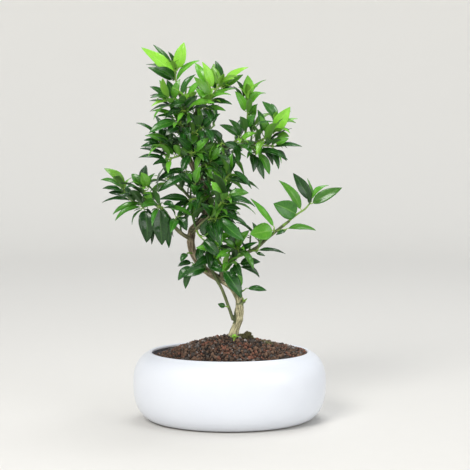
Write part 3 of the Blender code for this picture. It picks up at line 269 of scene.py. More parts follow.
# Leaves that only this script draws, on the shoots' own stems, as in SHOOTS
EXTRA = table("""
top_left_1: -64 379 -90 392 12 25 -7 OLD, -60 384 -75 405 10 45 12 MID;
top_left_2: -70 361 -88 371 10 30 4 OLD, -66 357 -86 358 9 60 -8 OLD;
top_middle_1: -24 373 -38 397 12 20 -9 MID, -5 371 15 384 9 40 3 MID, -8 367 8 368 9 50 6 OLD;
top_middle_2: -20 356 2 361 8 60 -10 MID, -27 346 -8 347 9 50 4 OLD, -22 352 -5 357 9 45 0 OLD,
-27 347 -20 332 11 30 -4 OLD;
top_right_1: 22 331 30 350 11 30 -6 MID, 14 352 4 372 8 60 6 OLD;
upper_left_1: -78 301 -97 299 8 60 -6 OLD, -78 309 -94 312 9 50 -4 OLD;
upper_left_3: -61 337 -80 338 8 60 -9 OLD;
lower_right_1: 91 248 110 262 9 45 5 MID, 90 249 86 270 9 55 7 MID;
centre_5: -24 190 -22 171 12 35 -5 OLD, -26 193 -34 178 10 45 3 OLD, -22 183 -40 173 11 35 -9 OLD,
-19 191 -37 194 10 35 -5 MID;
lower_left_1: -24 175 -6 167 11 30 -3 OLD, -29 176 -34 194 12 20 -5 OLD;
lower_right_7: -8 172 -31 192 7 35 -6 NEW, -9 171 -31 180 7 40 -9 NEW, -6 173 1 191 7 25 -7 NEW,
-4 172 12 184 7 35 -5 NEW, -9 168 -17 157 8 35 -4 MID;
centre_6: 3 184 -10 166 9 50 -5 OLD, 8 196 12 222 11 25 -5 OLD, 10 196 22 213 10 30 -3 MID;
right_1: 36 322 31 346 10 30 3 OLD;
right_4: 6 306 10 286 11 30 -6 OLD, 11 308 21 291 10 30 -3 MID;
lower_right_6: 6 176 14 163 11 30 -9 OLD, 2 180 10 168 9 50 -3 MID;
""")

# Leaves with a look of their own: number in the shoot, the share of the solid leaf's width,
# the share of its arch, and the freshness shown
LOOKS = table("""
top_left_1: 0 0.95 0.6 0.95, 1 1.1 -0.3 0.92, 2 0.55 0.6 0.1; top_left_2: 0 0.7 1 0.4,
3 0.75 1 0.6; upper_left_1: 2 0.7 1 0.05; upper_left_3: 0 1 1 0.2, 1 0.8 1 0.55; top_middle_1:
0 0.9 0.5 0.95, 1 0.85 0.5 0.9; top_middle_2: 0 0.8 0.7 0.7; top_right_1: 0 1 0.5 0.75,
3 0.8 1 0.6, 5 0.6 1 0.4, 6 0.6 1 0.3, 7 0.5 1 0.5; right_1: 0 0.8 0.5 0.85, 2 0.8 1 0.6; left_3:
0 1.15 0.6 0, 1 0.8 0.6 0; left_4: 0 1.1 0.6 0.05; lower_right_1: 0 0.85 0.5 0.42, 4 1.1 0.5 0.32;
left_7: 1 0.58 1 0; lower_left_1: 0 0.72 1 0; lower_right_2: 1 1.1 0.5 0.6; lower_right_7:
0 1.15 0.6 0; centre_3: 0 1 1 0.15, 1 0.75 1 0.3; sucker_1: 0 1 0.2 0.1; lower_left_3: 0 0.8 1 0;
""")

# By the start of a shoot's name: how fresh its NEW leaves look, and what is added for the rest
BRIGHT = {"top": 1.0, "right_2": 0.55, "right_3": 0.4, "right": 0.9, "left_1": 0.85,
          "left_2": 0.7, "left": 0.3, "lower_left": 0.3, "lower_right_7": 0.85,
          "lower_right": 0.52}
DULL = {"top": 0.1, "right_2": 0.0, "right_3": -0.1, "right": 0.2, "left": -0.12}


# ---------------------------------------------------------------- paths and tubes

def square_to(vector, axis):
    """The direction of a vector once its part along an axis is taken out."""
    return (vector - axis * vector.dot(axis)).normalized()


def smooth_path(rows, steps):
    """Rows of numbers along a smooth curve through the given rows."""
    rows = np.array(rows, float)
    padded = np.vstack([2 * rows[0] - rows[1], rows, 2 * rows[-1] - rows[-2]])
    found = []
    for k in range(1, len(padded) - 2):
        a, b, c, d = padded[k - 1:k + 3]
        for t in np.linspace(0, 1, steps, endpoint=False):
            found.append(b + 0.5 * ((c - a) * t + (2 * a - 5 * b + 4 * c - d) * t ** 2
                                    + (3 * b - a - 3 * c + d) * t ** 3))
    found.append(rows[-1])
    return np.array(found)


def frames(points):
    """For each point of a path: its direction, and two sides that don't twist along it."""
    found = []
    side = None
    for k in range(len(points)):
        axis = (points[min(k + 1, len(points) - 1)] - points[max(k - 1, 0)]).normalized()
        side = axis.orthogonal().normalized() if side is None else square_to(side, axis)
        found.append((axis, side, axis.cross(side)))
    return found


def ring_faces(count, sides):
    """Faces that join each ring of corners to the next."""
    faces = []
    for k in range((count - 1) * sides):
        after = k - k % sides + (k + 1) % sides
        faces.append((k, after, after + sides, k + sides))
    return faces


def tube(points, radii, sides):
    """Corners and faces of an open round tube, and for each corner where it is."""
    corners, places = [], []
    along = 0.0
    for k, (point, radius, (_, side, other)) in enumerate(zip(points, radii, frames(points))):
        along += (point - points[k - 1]).length if k else 0.0
        for j in range(sides):
            turn = 2 * math.pi * j / sides
            corners.append(point + (side * math.cos(turn) + other * math.sin(turn)) * radius)
            places.append((math.cos(turn) * radius, math.sin(turn) * radius, along))
    return corners, ring_faces(len(points), sides), places


def bar(points, radii, sides):
    """A tube with domed ends."""
    corners, faces, places = tube(points, radii, sides)
    for k, way in ((0, -1), (len(points) - 1, 1)):
        tip = len(corners)
        corners.append(points[k] + frames(points)[k][0] * way * radii[k] * 0.6)
        places.append(places[sides * k])
        faces += [(sides * k + j, sides * k + (j + 1) % sides, tip) for j in range(sides)]
    return corners, faces, places


# ---------------------------------------------------------------- planned leaves

def stem_places(points):
    """Places for leaves along a stem's straight lengths, evenly spaced in each."""
    points = [Vector(point) for point in points]
    places = []
    for start, end in zip(points, points[1:]):
        places += [start.lerp(end, step / PATH_STEPS) for step in range(PATH_STEPS)]
    return places + [points[-1]]


def rolled_normal(direction, roll):
    """The way a leaf's upper face looks: 0 degrees is to the front, 90 is up."""
    front = square_to(Vector((0, -1, 0)), direction)
    up = direction.cross(front)
    if up.z < 0:
        up = -up
    return front * math.cos(math.radians(roll)) + up * math.sin(math.radians(roll))


class Leaf:
    """One leaf: where its stalk starts, its blade's base and tip, and the way it faces."""

    def __init__(self, start, base, tip, width, normal, freshness):
        self.start = Vector(start) * MM
        self.base = Vector(base) * MM
        self.tip = Vector(tip) * MM
        self.width = width * MM
        self.normal = normal
        self.freshness = freshness

    def moved(self, depth, roll, scale):
        """A copy whose tip lies further back, whose blade is turned, or which is shorter."""
        leaf = copy(self)
        leaf.tip = self.base + (self.tip - self.base) * scale + Vector((0, depth, 0))
        axis = (leaf.tip - leaf.base).normalized()
        leaf.normal = Matrix.Rotation(math.radians(roll), 3, axis) @ self.normal
        leaf.width = self.width * scale
        return leaf

    def shell(self, grow=0.0, blade_only=False):
        """The solid leaf, or only its blade, as a shape for clearance tests."""
        span = self.tip - self.base
        axis = span.normalized()
        normal = square_to(self.normal, axis)
        side = axis.cross(normal)
        rings = []
        for along, share in LEAF_SECTIONS:
            arch = 4 * along * (1 - along) * LEAF_ARCH * span.length
            centre = self.base + span * along + normal * arch
            half = max(share * self.width, PETIOLE_WIDTH) / 2
            rings.append((centre, side, normal, half, LEAF_FOLD))
        if not blade_only:
            stalk = (self.base - self.start).normalized()
            bend = axis.rotation_difference(stalk)
            half_bend = Quaternion().slerp(bend, 0.5)
            rings[0] = (self.base, half_bend @ side, half_bend @ normal, *rings[0][3:])
            foot = self.start + stalk * STEM_RADII[1] * MM * 0.35
            rings.insert(0, (foot, bend @ side, bend @ normal, PETIOLE_WIDTH / 2, 0.0))
        corners = []
        for centre, side, normal, half, fold in rings:
            lift = normal * half * fold
            thick = normal * (LEAF_THICKNESS / 2 + grow)
            half += grow
            corners += [centre - side * half + lift, centre + thick,
                        centre + side * half + lift, centre - thick]
        corners.append(self.tip + axis * grow)
        faces = [(3, 2, 1, 0)]
        for a, b, above_b, above_a in ring_faces(len(rings), 4):
            faces += [(a, b, above_b), (a, above_b, above_a)]
        last = 4 * (len(rings) - 1)
        faces += [(last + k, last + (k + 1) % 4, last + 4) for k in range(4)]
        return Shell(corners, faces)


class Shell:
    """A shape for clearance tests, with its box."""

    def __init__(self, corners, faces):
        self.low = [min(corner[k] for corner in corners) for k in range(3)]
        self.high = [max(corner[k] for corner in corners) for k in range(3)]
        self.tree = BVHTree.FromPolygons(corners, faces)

    def touches(self, other):
        if any(self.low[k] > other.high[k] or other.low[k] > self.high[k] for k in range(3)):
            return False
        return bool(self.tree.overlap(other.tree))


class Crown:
    """Every stem and leaf placed so far, so that the next leaf keeps clear of them."""

    def __init__(self):
        self.placed = []

    def has_room(self, owner, whole, blade):
        """Whether shells are clear of all others; leaves of one owner meet at their stalks."""
        return not any(blade.touches(other_blade) if other == owner
                       else whole.touches(other_whole)
                       for other, other_whole, other_blade in self.placed)

    def settle(self, owner, leaf, kept):
        """Keep the leaf where it was asked for, or as near to that as it has room, if it has."""
        for scale, roll, depth in product(TRIED_SCALES, TRIED_ROLLS, TRIED_DEPTHS):
            trial = leaf.moved(depth * MM, roll, scale)
            if self.has_room(owner, trial.shell(CLEARANCE), trial.shell(CLEARANCE, True)):
                self.placed.append((owner, trial.shell(), trial.shell(0.0, True)))
                kept.append(trial)
                return


class Stem:
    """A shoot's stem, with the places on it that still have no leaf."""

    def __init__(self, points):
        self.places = stem_places(points)
        self.free = list(range(len(self.places) // 3, len(self.places) - 1))

    def shell(self, radius):
        """A rough shell round the stem's outer part."""
        outside = [place * MM for place in self.places[len(self.places) // 3::2]]
        return Shell(*tube(outside, [radius * MM] * len(outside), SHELL_SIDES)[:2])

    def nearest(self, numbers, x, z):
        """The number of the place nearest to a point, of those given."""
        return min(numbers, key=lambda k: (self.places[k].x - x) ** 2
                   + (self.places[k].z - z) ** 2)

    def take(self, number):
        """A free place, which then has its leaf."""
        self.free.remove(number)
        return self.places[number]

    def heading(self, place):
        """The way the stem grows at a place."""
        k = max(self.places.index(place), 1)
        return (self.places[k] - self.places[k - 1]).normalized()


def drawn_leaf(start, row):
    """A leaf that a table gives, from its place on the stem."""
    base_x, base_z, tip_x, tip_z, width, roll, depth, freshness = row
    base = Vector((base_x, start.y + depth * 0.25, base_z))
    tip = Vector((tip_x, start.y + depth, tip_z))
    normal = rolled_normal((tip - base).normalized(), roll)
    return Leaf(start, base, tip, width, normal, freshness)


def filling_leaves(stem, count, chance):
    """Leaves set spirally round a stem, each turned from the last by the golden angle."""
    turn = chance.uniform(0, 360)
    for index in range(count):
        along = 0.5 + 0.5 * (index + 1) / count
        wanted = round(along * (len(stem.places) - 1))
        start = stem.take(min(stem.free, key=lambda k: abs(k - wanted)))
        axis = stem.heading(start)
        out = Matrix.Rotation(math.radians(turn), 3, axis) @ axis.orthogonal().normalized()
        rise = chance.uniform(0.35, 0.9)
        droop = Vector((0, 0, -chance.uniform(0.0, 0.35)))
        heading = (out + axis * rise + droop).normalized()
        length = chance.uniform(*FILLING_LENGTHS)
        width = length * chance.uniform(0.29, 0.37)
        normal = square_to(Vector((0, 0, 1)) + axis * 0.5 + out * 0.2, heading)
        base = start + heading * chance.uniform(3.5, 6.0)
        freshness = chance.choice((OLD, OLD, MID, MID, NEW if index == count - 1 else MID))
        turn += GOLDEN_ANGLE
        yield Leaf(start, base, base + heading * length, width, normal, freshness)


def inside(point, ellipses):
    """Whether a point lies in one of some ellipses, seen from the front."""
    x, z = point.x / MM, point.z / MM
    return any(((x - cx) / rx) ** 2 + ((z - cz) / rz) ** 2 < 1 for cx, cz, rx, rz in ellipses)


def seat_on_wood(foot):
    """The nearest point in the middle of the wood."""
    found = []
    for rows in WOOD.values():
        for a, b in zip(rows, rows[1:]):
            start, end = Vector(a[:3]), Vector(b[:3])
            along = (foot - start).dot(end - start) / (end - start).length_squared
            point = start.lerp(end, min(max(along, 0), 1))
            found.append(((foot - point).length, point))
    return min(found, key=lambda entry: entry[0])[1]


def plan_crown():
    """Decide every shoot's leaves as the solids have them, so that no two of them touch."""
    crown = Crown()
    for rows in WOOD.values():
        points = [Vector(row[:3]) * MM for row in rows]
        shell = Shell(*tube(points, [row[3] * MM for row in rows], SHELL_SIDES)[:2])
        crown.placed.append(("wood", shell, shell))
    stems = {}
    leaves = {label: [] for label in SHOOTS}
    for label, (_, points, _) in SHOOTS.items():
        stems[label] = Stem([seat_on_wood(Vector(points[0])), *points[1:]])
        shell = stems[label].shell(STEM_RADII[0])
        crown.placed.append((label, shell, shell))
    for label, (_, _, rows) in SHOOTS.items():
        stem = stems[label]
        for row in rows:
            start = stem.take(stem.nearest(stem.free, *row[:2]))
            crown.settle(label, drawn_leaf(start, row), leaves[label])
    for seed, (label, (((count,),), _, _)) in enumerate(SHOOTS.items()):
        for leaf in filling_leaves(stems[label], int(count), random.Random(seed)):
            if not inside((leaf.base + leaf.tip) / 2, OPENINGS):
                crown.settle(label, leaf, leaves[label])
    return crown, stems, leaves


# ---------------------------------------------------------------- leaves only drawn here

def in_crown(leaf):
    """Whether a leaf's middle and tip lie where the crown is dense, and in no opening."""
    points = ((leaf.base + leaf.tip) / 2, leaf.tip)
    return (all(inside(point, DENSE) for point in points)
            and not any(inside(point, OPEN) for point in points))


def extra_leaves(crown, stems, leaves):
    """The leaves of the table EXTRA, each on the nearest place of its shoot's stem."""
    for label, rows in EXTRA.items():
        stem = stems[label]
        for row in rows:
            start = stem.places[stem.nearest(range(len(stem.places)), *row[:2])]
            crown.settle(label, drawn_leaf(start, row), leaves[label])


def spiral_leaf(start, axis, turn, chance, lengths, freshness, upright=(0.3, 0.9)):
    """A leaf set at an angle round a stem, growing outwards and a little upwards."""
    out = Matrix.Rotation(math.radians(turn), 3, axis) @ axis.orthogonal().normalized()
    heading = out + axis * chance.uniform(*upright) - Vector((0, 0, chance.uniform(0.0, 0.3)))
    heading.normalize()
    length = chance.uniform(*lengths)
    up = Vector((0, 0, 1)) + axis * 0.3 + out * 0.2 - Vector((0, chance.uniform(-0.5, 0.6), 0))
    base = start + heading * chance.uniform(2.5, 4.5)
    width = length * chance.uniform(0.27, 0.38)
    return Leaf(start, base, base + heading * length, width, square_to(up, heading), freshness)


def tip_leaves(crown, stems, leaves):
    """Small bright leaves that open at the end of each shoot of the upper crown."""
    for seed, (label, stem) in enumerate(stems.items(), SEEDS["tips"]):
        if label.startswith(("lower", "sucker")):
            continue
        chance = random.Random(seed)
        axis = stem.heading(stem.places[-1])
        count, upright = (6, (0.8, 1.8)) if label.startswith("top") else (4, (0.3, 0.9))
        for number in range(count):
            leaf = spiral_leaf(stem.places[-1] - axis * 0.8 * number, axis,
                               GOLDEN_ANGLE * number + seed, chance,
                               (8 + 3 * number, 11 + 4 * number), NEW, upright)
            if not inside(leaf.tip, OPEN):
                crown.settle(label, leaf, leaves[label])


def more_leaves(crown, stems, leaves):
    """Further leaves on the shoots, where the crown is dense."""
    for seed, (label, stem) in enumerate(stems.items(), SEEDS["more"]):
        chance = random.Random(seed)
        for number in range(MORE_LEAVES):
            place = stem.places[chance.randrange(len(stem.places) // 4, len(stem.places) - 1)]
            fresh = chance.choice((OLD, OLD, MID))
            leaf = spiral_leaf(place, stem.heading(place), GOLDEN_ANGLE * number + 60, chance,
                               MORE_LENGTHS, fresh)
            if in_crown(leaf):
                crown.settle(label, leaf, leaves[label])


def twig_places(rows):
    """Places along a limb where a twig may grow, each with the limb's direction."""
    path = [Vector(row[:3]) for row in smooth_path(rows, 3)]
    return [(place, (after - place).normalized()) for place, after in zip(path, path[1:])
            if place.z > TWIG_START]


def grow_twigs(crown):
    """Short leafy twigs along the limbs, wherever the crown still has room for them."""
    found = []
    for seed, (limb, rows) in enumerate(WOOD.items(), SEEDS["twigs"]):
        chance = random.Random(seed)
        for number, (seat, axis) in enumerate(twig_places(rows)):
            name = f"{limb}_{number}"
            side = Matrix.Rotation(math.radians(GOLDEN_ANGLE * number), 3, axis)
            side = (side @ axis.orthogonal()).normalized()
            heading = (side + axis * 0.5 + Vector((0, -0.3, 0.4))).normalized()
            middle = seat + heading * chance.uniform(6, 9)
            end = middle + (heading + Vector((0, 0, 0.5))).normalized() * chance.uniform(7, 13)
            stem = Stem([seat, middle, end])
            shell = stem.shell(STEM_RADII[1])
            if not crown.has_room(name, shell, shell):
                continue
            kept = []
            for step in range(TWIG_LEAVES):
                place = stem.places[len(stem.places) - 1 - 2 * step]
                fresh = NEW if step == 0 else chance.choice((OLD, OLD, MID))
                leaf = spiral_leaf(place, stem.heading(place), GOLDEN_ANGLE * step, chance,
                                   TWIG_LENGTHS, fresh)
                if in_crown(leaf):
                    crown.settle(name, leaf, kept)
            if len(kept) > 1:
                crown.placed.append((name, shell, shell))
                found.append((limb, [seat, middle, end], kept))
    return found


# ---------------------------------------------------------------- pieces

class Mesh:
    """Corners, faces and values for one piece, gathered part by part."""

    def __init__(self):
        self.corners = []
        self.faces = []
        self.finishes = []
        self.places = []
        self.kinds = []

    def add(self, corners, faces, places=None, kind=(0, 0, 0), finish=0):
        """Add a part: a place for each corner and the part's kind are read by the materials."""
        first = len(self.corners)
        self.corners += [tuple(corner) for corner in corners]
        self.faces += [[first + k for k in face] for face in faces]
        self.finishes += [finish] * len(faces)
        self.places += places or [(0, 0, 0)] * len(corners)
        self.kinds += [kind] * len(corners)

    def add_bar(self, points, radii, sides, kind, finish=1):
        """Add a round bar."""
        self.add(*bar(points, radii, sides), kind, finish)

    def build(self, name, finishes, slot, stands_for=()):
        """Make the object, with closed parts whose faces point out, and let it ride."""
        mesh = bpy.data.meshes.new(name)
        mesh.from_pydata(self.corners, [], self.faces)
        store(mesh, place=self.places, kind=self.kinds)
        mesh.polygons.foreach_set("material_index", self.finishes)
        for finish in finishes:
            mesh.materials.append(finish)
        bm = bmesh.new()
        bm.from_mesh(mesh)
        bmesh.ops.recalc_face_normals(bm, faces=bm.faces)
        bm.to_mesh(mesh)
        bm.free()
        mesh.shade_smooth()
        return place_piece(bpy.data.objects.new(name, mesh), stands_for)


def store(mesh, **layers):
    """Keep a vector for each corner under a name that the materials read."""
    for name, rows in layers.items():
        made = mesh.attributes.new(name, "FLOAT_VECTOR", "POINT")
        made.data.foreach_set("vector", np.array(rows, np.float32).ravel())


def place_piece(obj, stands_for=()):
    """Link a piece, let it ride on the body, and hide the parts that it stands for."""
    bpy.context.scene.collection.objects.link(obj)
    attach(obj, "root")
    if stands_for:
        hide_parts(*stands_for)
    return obj


def evaluated_mesh(obj):
    """The mesh that an object's modifiers make of it."""
    bpy.context.view_layer.update()
    evaluated = obj.evaluated_get(bpy.context.evaluated_depsgraph_get())
    return bpy.data.meshes.new_from_object(evaluated)


# ---------------------------------------------------------------- leaves and stems

def outline(t):
    """A leaf's width at a share of its length, as a share of its greatest width."""
    return t ** 0.62 * (1 - t) ** 0.98 / 0.3437


def by_shoot(label, values, other):
    """The value for the first start of a shoot's name that fits."""
    return next((value for start, value in values.items() if label.startswith(start)), other)


def look_of(label, number, leaf):
    """A leaf's row of LOOKS: bright at the ends of the crown, dull and narrower low in it."""
    for row in LOOKS.get(label, ()):
        if row[0] == number:
            return row[1:]
    if leaf.freshness < NEW:
        fresh = leaf.freshness + by_shoot(label, DULL, 0.0)
    else:
        fresh = by_shoot(label, BRIGHT, 0.66)
    return (1.0 if leaf.width > BROAD_LEAF or fresh > 0.9 else SLIM), 1.0, fresh


def blade(leaf, chance, look):
    """A thin closed leaf: channelled midrib above, raised below, arched, with wavy edges."""
    slim, bowed, fresh = look
    span = leaf.tip - leaf.base
    length = span.length
    axis = span.normalized()
    normal = square_to(leaf.normal, axis)
    side = axis.cross(normal)
    wave, waves = chance.uniform(0, 1), chance.uniform(1.4, 2.4)
    sway = chance.uniform(-0.05, 0.05) * length
    kind = (fresh, chance.uniform(0, 1), chance.uniform(0, 10))
    twist, arched = chance.uniform(-0.45, 0.45), LEAF_ARCH * chance.uniform(0.6, 1.35) * bowed
    fold = LEAF_FOLD * chance.uniform(0.7, 2.6)
    top, under, places = [], [], []
    for step in range(BLADE_STEPS):
        t = 0.5 - 0.5 * math.cos(math.pi * step / BLADE_STEPS)
        centre = leaf.base + span * t + normal * 4 * t * (1 - t) * arched * length
        centre = centre + side * sway * math.sin(math.pi * t)
        tilt = 4 * (1 - 2 * t) * arched
        turned_side = side * math.cos(twist * t) + normal * math.sin(twist * t)
        face_up = (turned_side.cross(axis) - axis * tilt).normalized()
        half = max(outline(t) * leaf.width * slim / 2, PETIOLE_WIDTH * 0.4)
        for across in BLADE_ACROSS:
            edge = abs(across)
            ripple = 0.09 * half * math.sin(2 * math.pi * (waves * t + wave) + across) * edge ** 2
            lift = fold * half * edge ** 1.4 + ripple
            middle = centre + turned_side * half * across + face_up * lift
            thick = BLADE_HALF * (1 - 0.6 * edge)
            rib = BLADE_HALF * 1.6 * (1 - t) if edge < 0.1 else 0.0
            top.append(middle + face_up * (thick - rib * 0.35))
            under.append(middle - face_up * (thick + rib))
            places.append((across, t))
    places = [(*place, face) for face in (0, 1) for place in places] + [(0, 1, 0)]
    count, below, tip = len(BLADE_ACROSS), len(top), len(top) * 2
    faces = [(*range(count), *range(below + count - 1, below - 1, -1))]
    for step in range(BLADE_STEPS):
        row = count * step
        for k in range(count - 1):
            a, b = row + k, row + k + 1
            if step < BLADE_STEPS - 1:
                faces += [(a, b, b + count, a + count),
                          (below + b, below + a, below + a + count, below + b + count)]
            else:
                faces += [(a, b, tip), (below + b, below + a, tip)]
        for a in (row, row + count - 1):
            faces.append((a, a + count, below + a + count, below + a)
                         if step < BLADE_STEPS - 1 else (a, tip, below + a))
    return top + under + [leaf.tip], faces, places, kind


def add_leaf(piece, leaf, chance, look):
    """A blade and its stalk, which leaves the stem and bends into the blade's line."""
    piece.add(*blade(leaf, chance, look))
    axis = (leaf.tip - leaf.base).normalized()
    reach = leaf.base - leaf.start
    bent = leaf.base - axis * reach.length * 0.45
    points = [leaf.start, (leaf.start + bent) / 2 + reach * 0.06, bent, leaf.base + axis * MM]
    points = [Vector(row) for row in smooth_path(points, 2)]
    radii = [PETIOLE_WIDTH * (0.72 - 0.3 * k / (len(points) - 1)) for k in range(len(points))]
    piece.add_bar(points, radii, 6, (min(1.0, look[2] + 0.4), chance.uniform(0, 1), 0))


def add_stem(piece, points, freshness):
    """A young stem, thicker where it leaves the wood, with a bud at its end."""
    foot, tip = STEM_RADII
    count = len(points) - 1
    path = smooth_path([(*Vector(point), foot + (tip - foot) * k / count)
                        for k, point in enumerate(points)], 5)
    radii = [row[3] * MM for row in path]
    radii[0] *= 1.5
    radii[1] *= 1.2
    piece.add_bar([Vector(row[:3]) * MM for row in path], radii, 10, (freshness, 0.5, 0))


def leaf_slot(leaves):
    """The finish that a shoot's leaves are closest to."""
    mean = sum(leaf.freshness for leaf in leaves) / len(leaves)
    return "leaf_old" if mean < 0.25 else "leaf_mid" if mean < 0.55 else "leaf_new"


def shoots(stems, planned, leaves, twigs, finishes):
    """Every leafy shoot and every group of twigs, as a piece each."""
    for seed, (label, found) in enumerate(leaves.items(), SEEDS["blades"]):
        chance = random.Random(seed)
        piece = Mesh()
        add_stem(piece, [stems[label].places[0], *SHOOTS[label][1][1:]], 0.7)
        for number, leaf in enumerate(found):
            add_leaf(piece, leaf, chance, look_of(label, number, leaf))
        piece.build(f"leafy_{label}", finishes, leaf_slot(found[:planned[label]]),
                    [f"shoot_{label}"])
    for seed, limb in enumerate(sorted({twig[0] for twig in twigs}), SEEDS["twig blades"]):
        chance = random.Random(seed)
        piece = Mesh()
        for owner, points, found in twigs:
            if owner == limb:
                add_stem(piece, points, 0.4)
                for leaf in found:
                    add_leaf(piece, leaf, chance, look_of(limb, None, leaf))
        piece.build(f"twigs_{limb}", finishes, "leaf_old")


# ---------------------------------------------------------------- wood

VOXEL = 0.55 * MM
# Where old wounds and forks swell the bark: place, reach, height, mm
KNOTS = [((14.0, -3, 112), 3.4, 1.5), ((9, -5, 121), 3.0, 0.8), ((13, -4, 129), 2.8, 0.9),
         ((1, -3, 150), 4.0, 0.9), ((-38, -1, 180), 3.5, 0.8), ((-46, -3, 203), 4.0, 1.0),
         ((-23, -4, 233), 3.5, 0.8), ((-44, 0, 297), 4.0, 0.9)]
THIN_GIRTH, GROWN_GIRTH = 1.3, 4.3      # mm; between these radii the bark becomes rough
RIDGE_RISE, FINE_RISE, LUMP_RISE = 0.55, 0.22, 0.6      # mm


def limb_samples():
    """The limbs as one mesh of bars, and for places along them their frame and radius."""
    union = Mesh()
    samples = []
    for rows in WOOD.values():
        path = smooth_path(rows, 6)
        points = [Vector(row[:3]) * MM for row in path]
        radii = [row[3] * MM for row in path]
        union.add(*bar(points, radii, 20))
        along = len(samples) * MM
        for k, (axis, side, other) in enumerate(frames(points)):
            along += (points[k] - points[k - 1]).length if k else 0.0
            samples.append((points[k], side, other, radii[k], along))
    return union, samples


def wood(finish):
    """Trunk and branches grown together, with ridged bark that follows each limb."""
    union, samples = limb_samples()
    guide = bpy.data.meshes.new("wood_guide")
    guide.from_pydata(union.corners, [], union.faces)
    obj = bpy.data.objects.new("bark", guide)
    bpy.context.scene.collection.objects.link(obj)
    fuse = obj.modifiers.new("fuse", "REMESH")
    fuse.mode = "VOXEL"
    fuse.voxel_size = VOXEL
    mesh = evaluated_mesh(obj)
    bpy.data.objects.remove(obj, do_unlink=True)
    tree = KDTree(len(samples))
    for index, sample in enumerate(samples):
        tree.insert(sample[0], index)
    tree.balance()
    places, kinds, moved = [], [], []
    for vertex in mesh.vertices:
        point = vertex.co.copy()
        centre, side, other, radius, along = samples[tree.find(point)[1]]
        out = point - centre
        turn = math.atan2(out.dot(other), out.dot(side))
        girth = radius / MM
        where = Vector((math.cos(turn) * girth, math.sin(turn) * girth,
                        (along + out.dot(side.cross(other))) / MM))
        ridge = noise.noise(Vector((where.x * 0.85, where.y * 0.85, where.z * 0.10)))
        fine = noise.noise(Vector((where.x * 2.1, where.y * 2.1, where.z * 0.22 + 40)))
        lump = noise.noise(point / MM * 0.11)
        grown = min(1.0, max(0.0, (girth - THIN_GIRTH) / (GROWN_GIRTH - THIN_GIRTH)))
        rise = (RIDGE_RISE * ridge + FINE_RISE * fine) * (0.25 + grown)
        rise += LUMP_RISE * lump * grown
        for spot, reach, height in KNOTS:
            away = (point / MM - Vector(spot)).length / reach
            rise += height * math.exp(-(away ** 2) * 1.6)
        moved.append(point + vertex.normal * rise * MM)
        places.append(where)
        kinds.append((grown, 0.5 + 0.5 * ridge, point.z))
    mesh.vertices.foreach_set("co", np.array(moved, np.float32).ravel())
    store(mesh, place=places, kind=kinds)
    mesh.materials.clear()
    mesh.materials.append(finish)
    mesh.shade_smooth()
    mesh.update()
    place_piece(bpy.data.objects.new("bark", mesh), ["trunk"])


# ---------------------------------------------------------------- pot

def pot_radius(z, inset=0.0, floor=0.0):
    """Half the pot's length at a height, at its outside or set in from it."""
    if z > POT_BELLY_HEIGHT:
        level = (z - POT_BELLY_HEIGHT) / POT_SHOULDER_RISE
        run, power = POT_SHOULDER_RUN, POT_CURVES[0]
    else:
        level = (POT_BELLY_HEIGHT - z) / (POT_BELLY_HEIGHT - floor)
        run, power = (POT_WIDTH - POT_FOOT_WIDTH) / 2, POT_CURVES[1]
    return POT_WIDTH / 2 - inset - run * (1 - (1 - level ** power) ** (1 / power))


def turned(profile, sides):
    """Corners and faces of a closed oval turned from (radius, z), from axis to axis."""
    corners, faces, rings = [], [], []
    for radius, z in profile:
        if radius < 1e-9:
            rings.append([len(corners)])
            corners.append(Vector((0, 0, z)))
            continue
        rings.append(list(range(len(corners), len(corners) + sides)))
        for k in range(sides):
            turn = 2 * math.pi * k / sides
            corners.append(Vector((radius * math.cos(turn), radius * math.sin(turn) * POT_OVAL,
                                   z)))
    for one, two in zip(rings, rings[1:]):
        for k in range(sides):
            after = (k + 1) % sides
            ring = [one[k % len(one)], one[after % len(one)], two[after % len(two)],
                    two[k % len(two)]]
            faces.append(tuple(dict.fromkeys(ring)))
    return corners, faces


def pot(finish):
    """The glazed bowl: a swelling oval with a soft lip and two drain holes."""
    levels = [0.5 - 0.5 * math.cos(math.pi * k / 14) for k in range(15)]
    heights = [POT_FLOOR + (POT_BELLY_HEIGHT - POT_FLOOR) * level ** 1.5 for level in levels]
    hollow = [(pot_radius(z, POT_WALL, POT_FLOOR), z) for z in heights]
    hollow += [(pot_radius(z * MM, POT_WALL), z * MM) for z in (50, 56, 62, 67, 71)]
    mouth = POT_MOUTH_WIDTH / 2
    shoulder = pot_radius(POT_NECK + 1.2 * MM)
    lip = [(mouth - 0.3 * MM, POT_NECK), (mouth, POT_HEIGHT - 0.6 * MM),
           ((mouth + shoulder) / 2, POT_HEIGHT), (shoulder - 0.6 * MM, POT_HEIGHT - 0.5 * MM),
           (pot_radius(POT_NECK + 0.6 * MM), POT_NECK + 0.6 * MM)]
    heights = [(POT_NECK - 0.4 * MM) * (0.5 + 0.5 * math.cos(math.pi * k / 40))
               for k in range(41)]
    outside = [(pot_radius(z), z) for z in heights]
    piece = Mesh()
    piece.add(*turned([(0, POT_FLOOR), *hollow, *(tuple(row) for row in smooth_path(lip, 4)),
                       *outside, (0, 0)], POT_SIDES))
    bowl = piece.build("glazed_pot", [finish], "glaze", ["pot"])
    for side in (-1, 1):
        drill(bowl, side * DRAIN_SPACING / 2)
    bowl.data.set_sharp_from_angle(angle=math.radians(50))


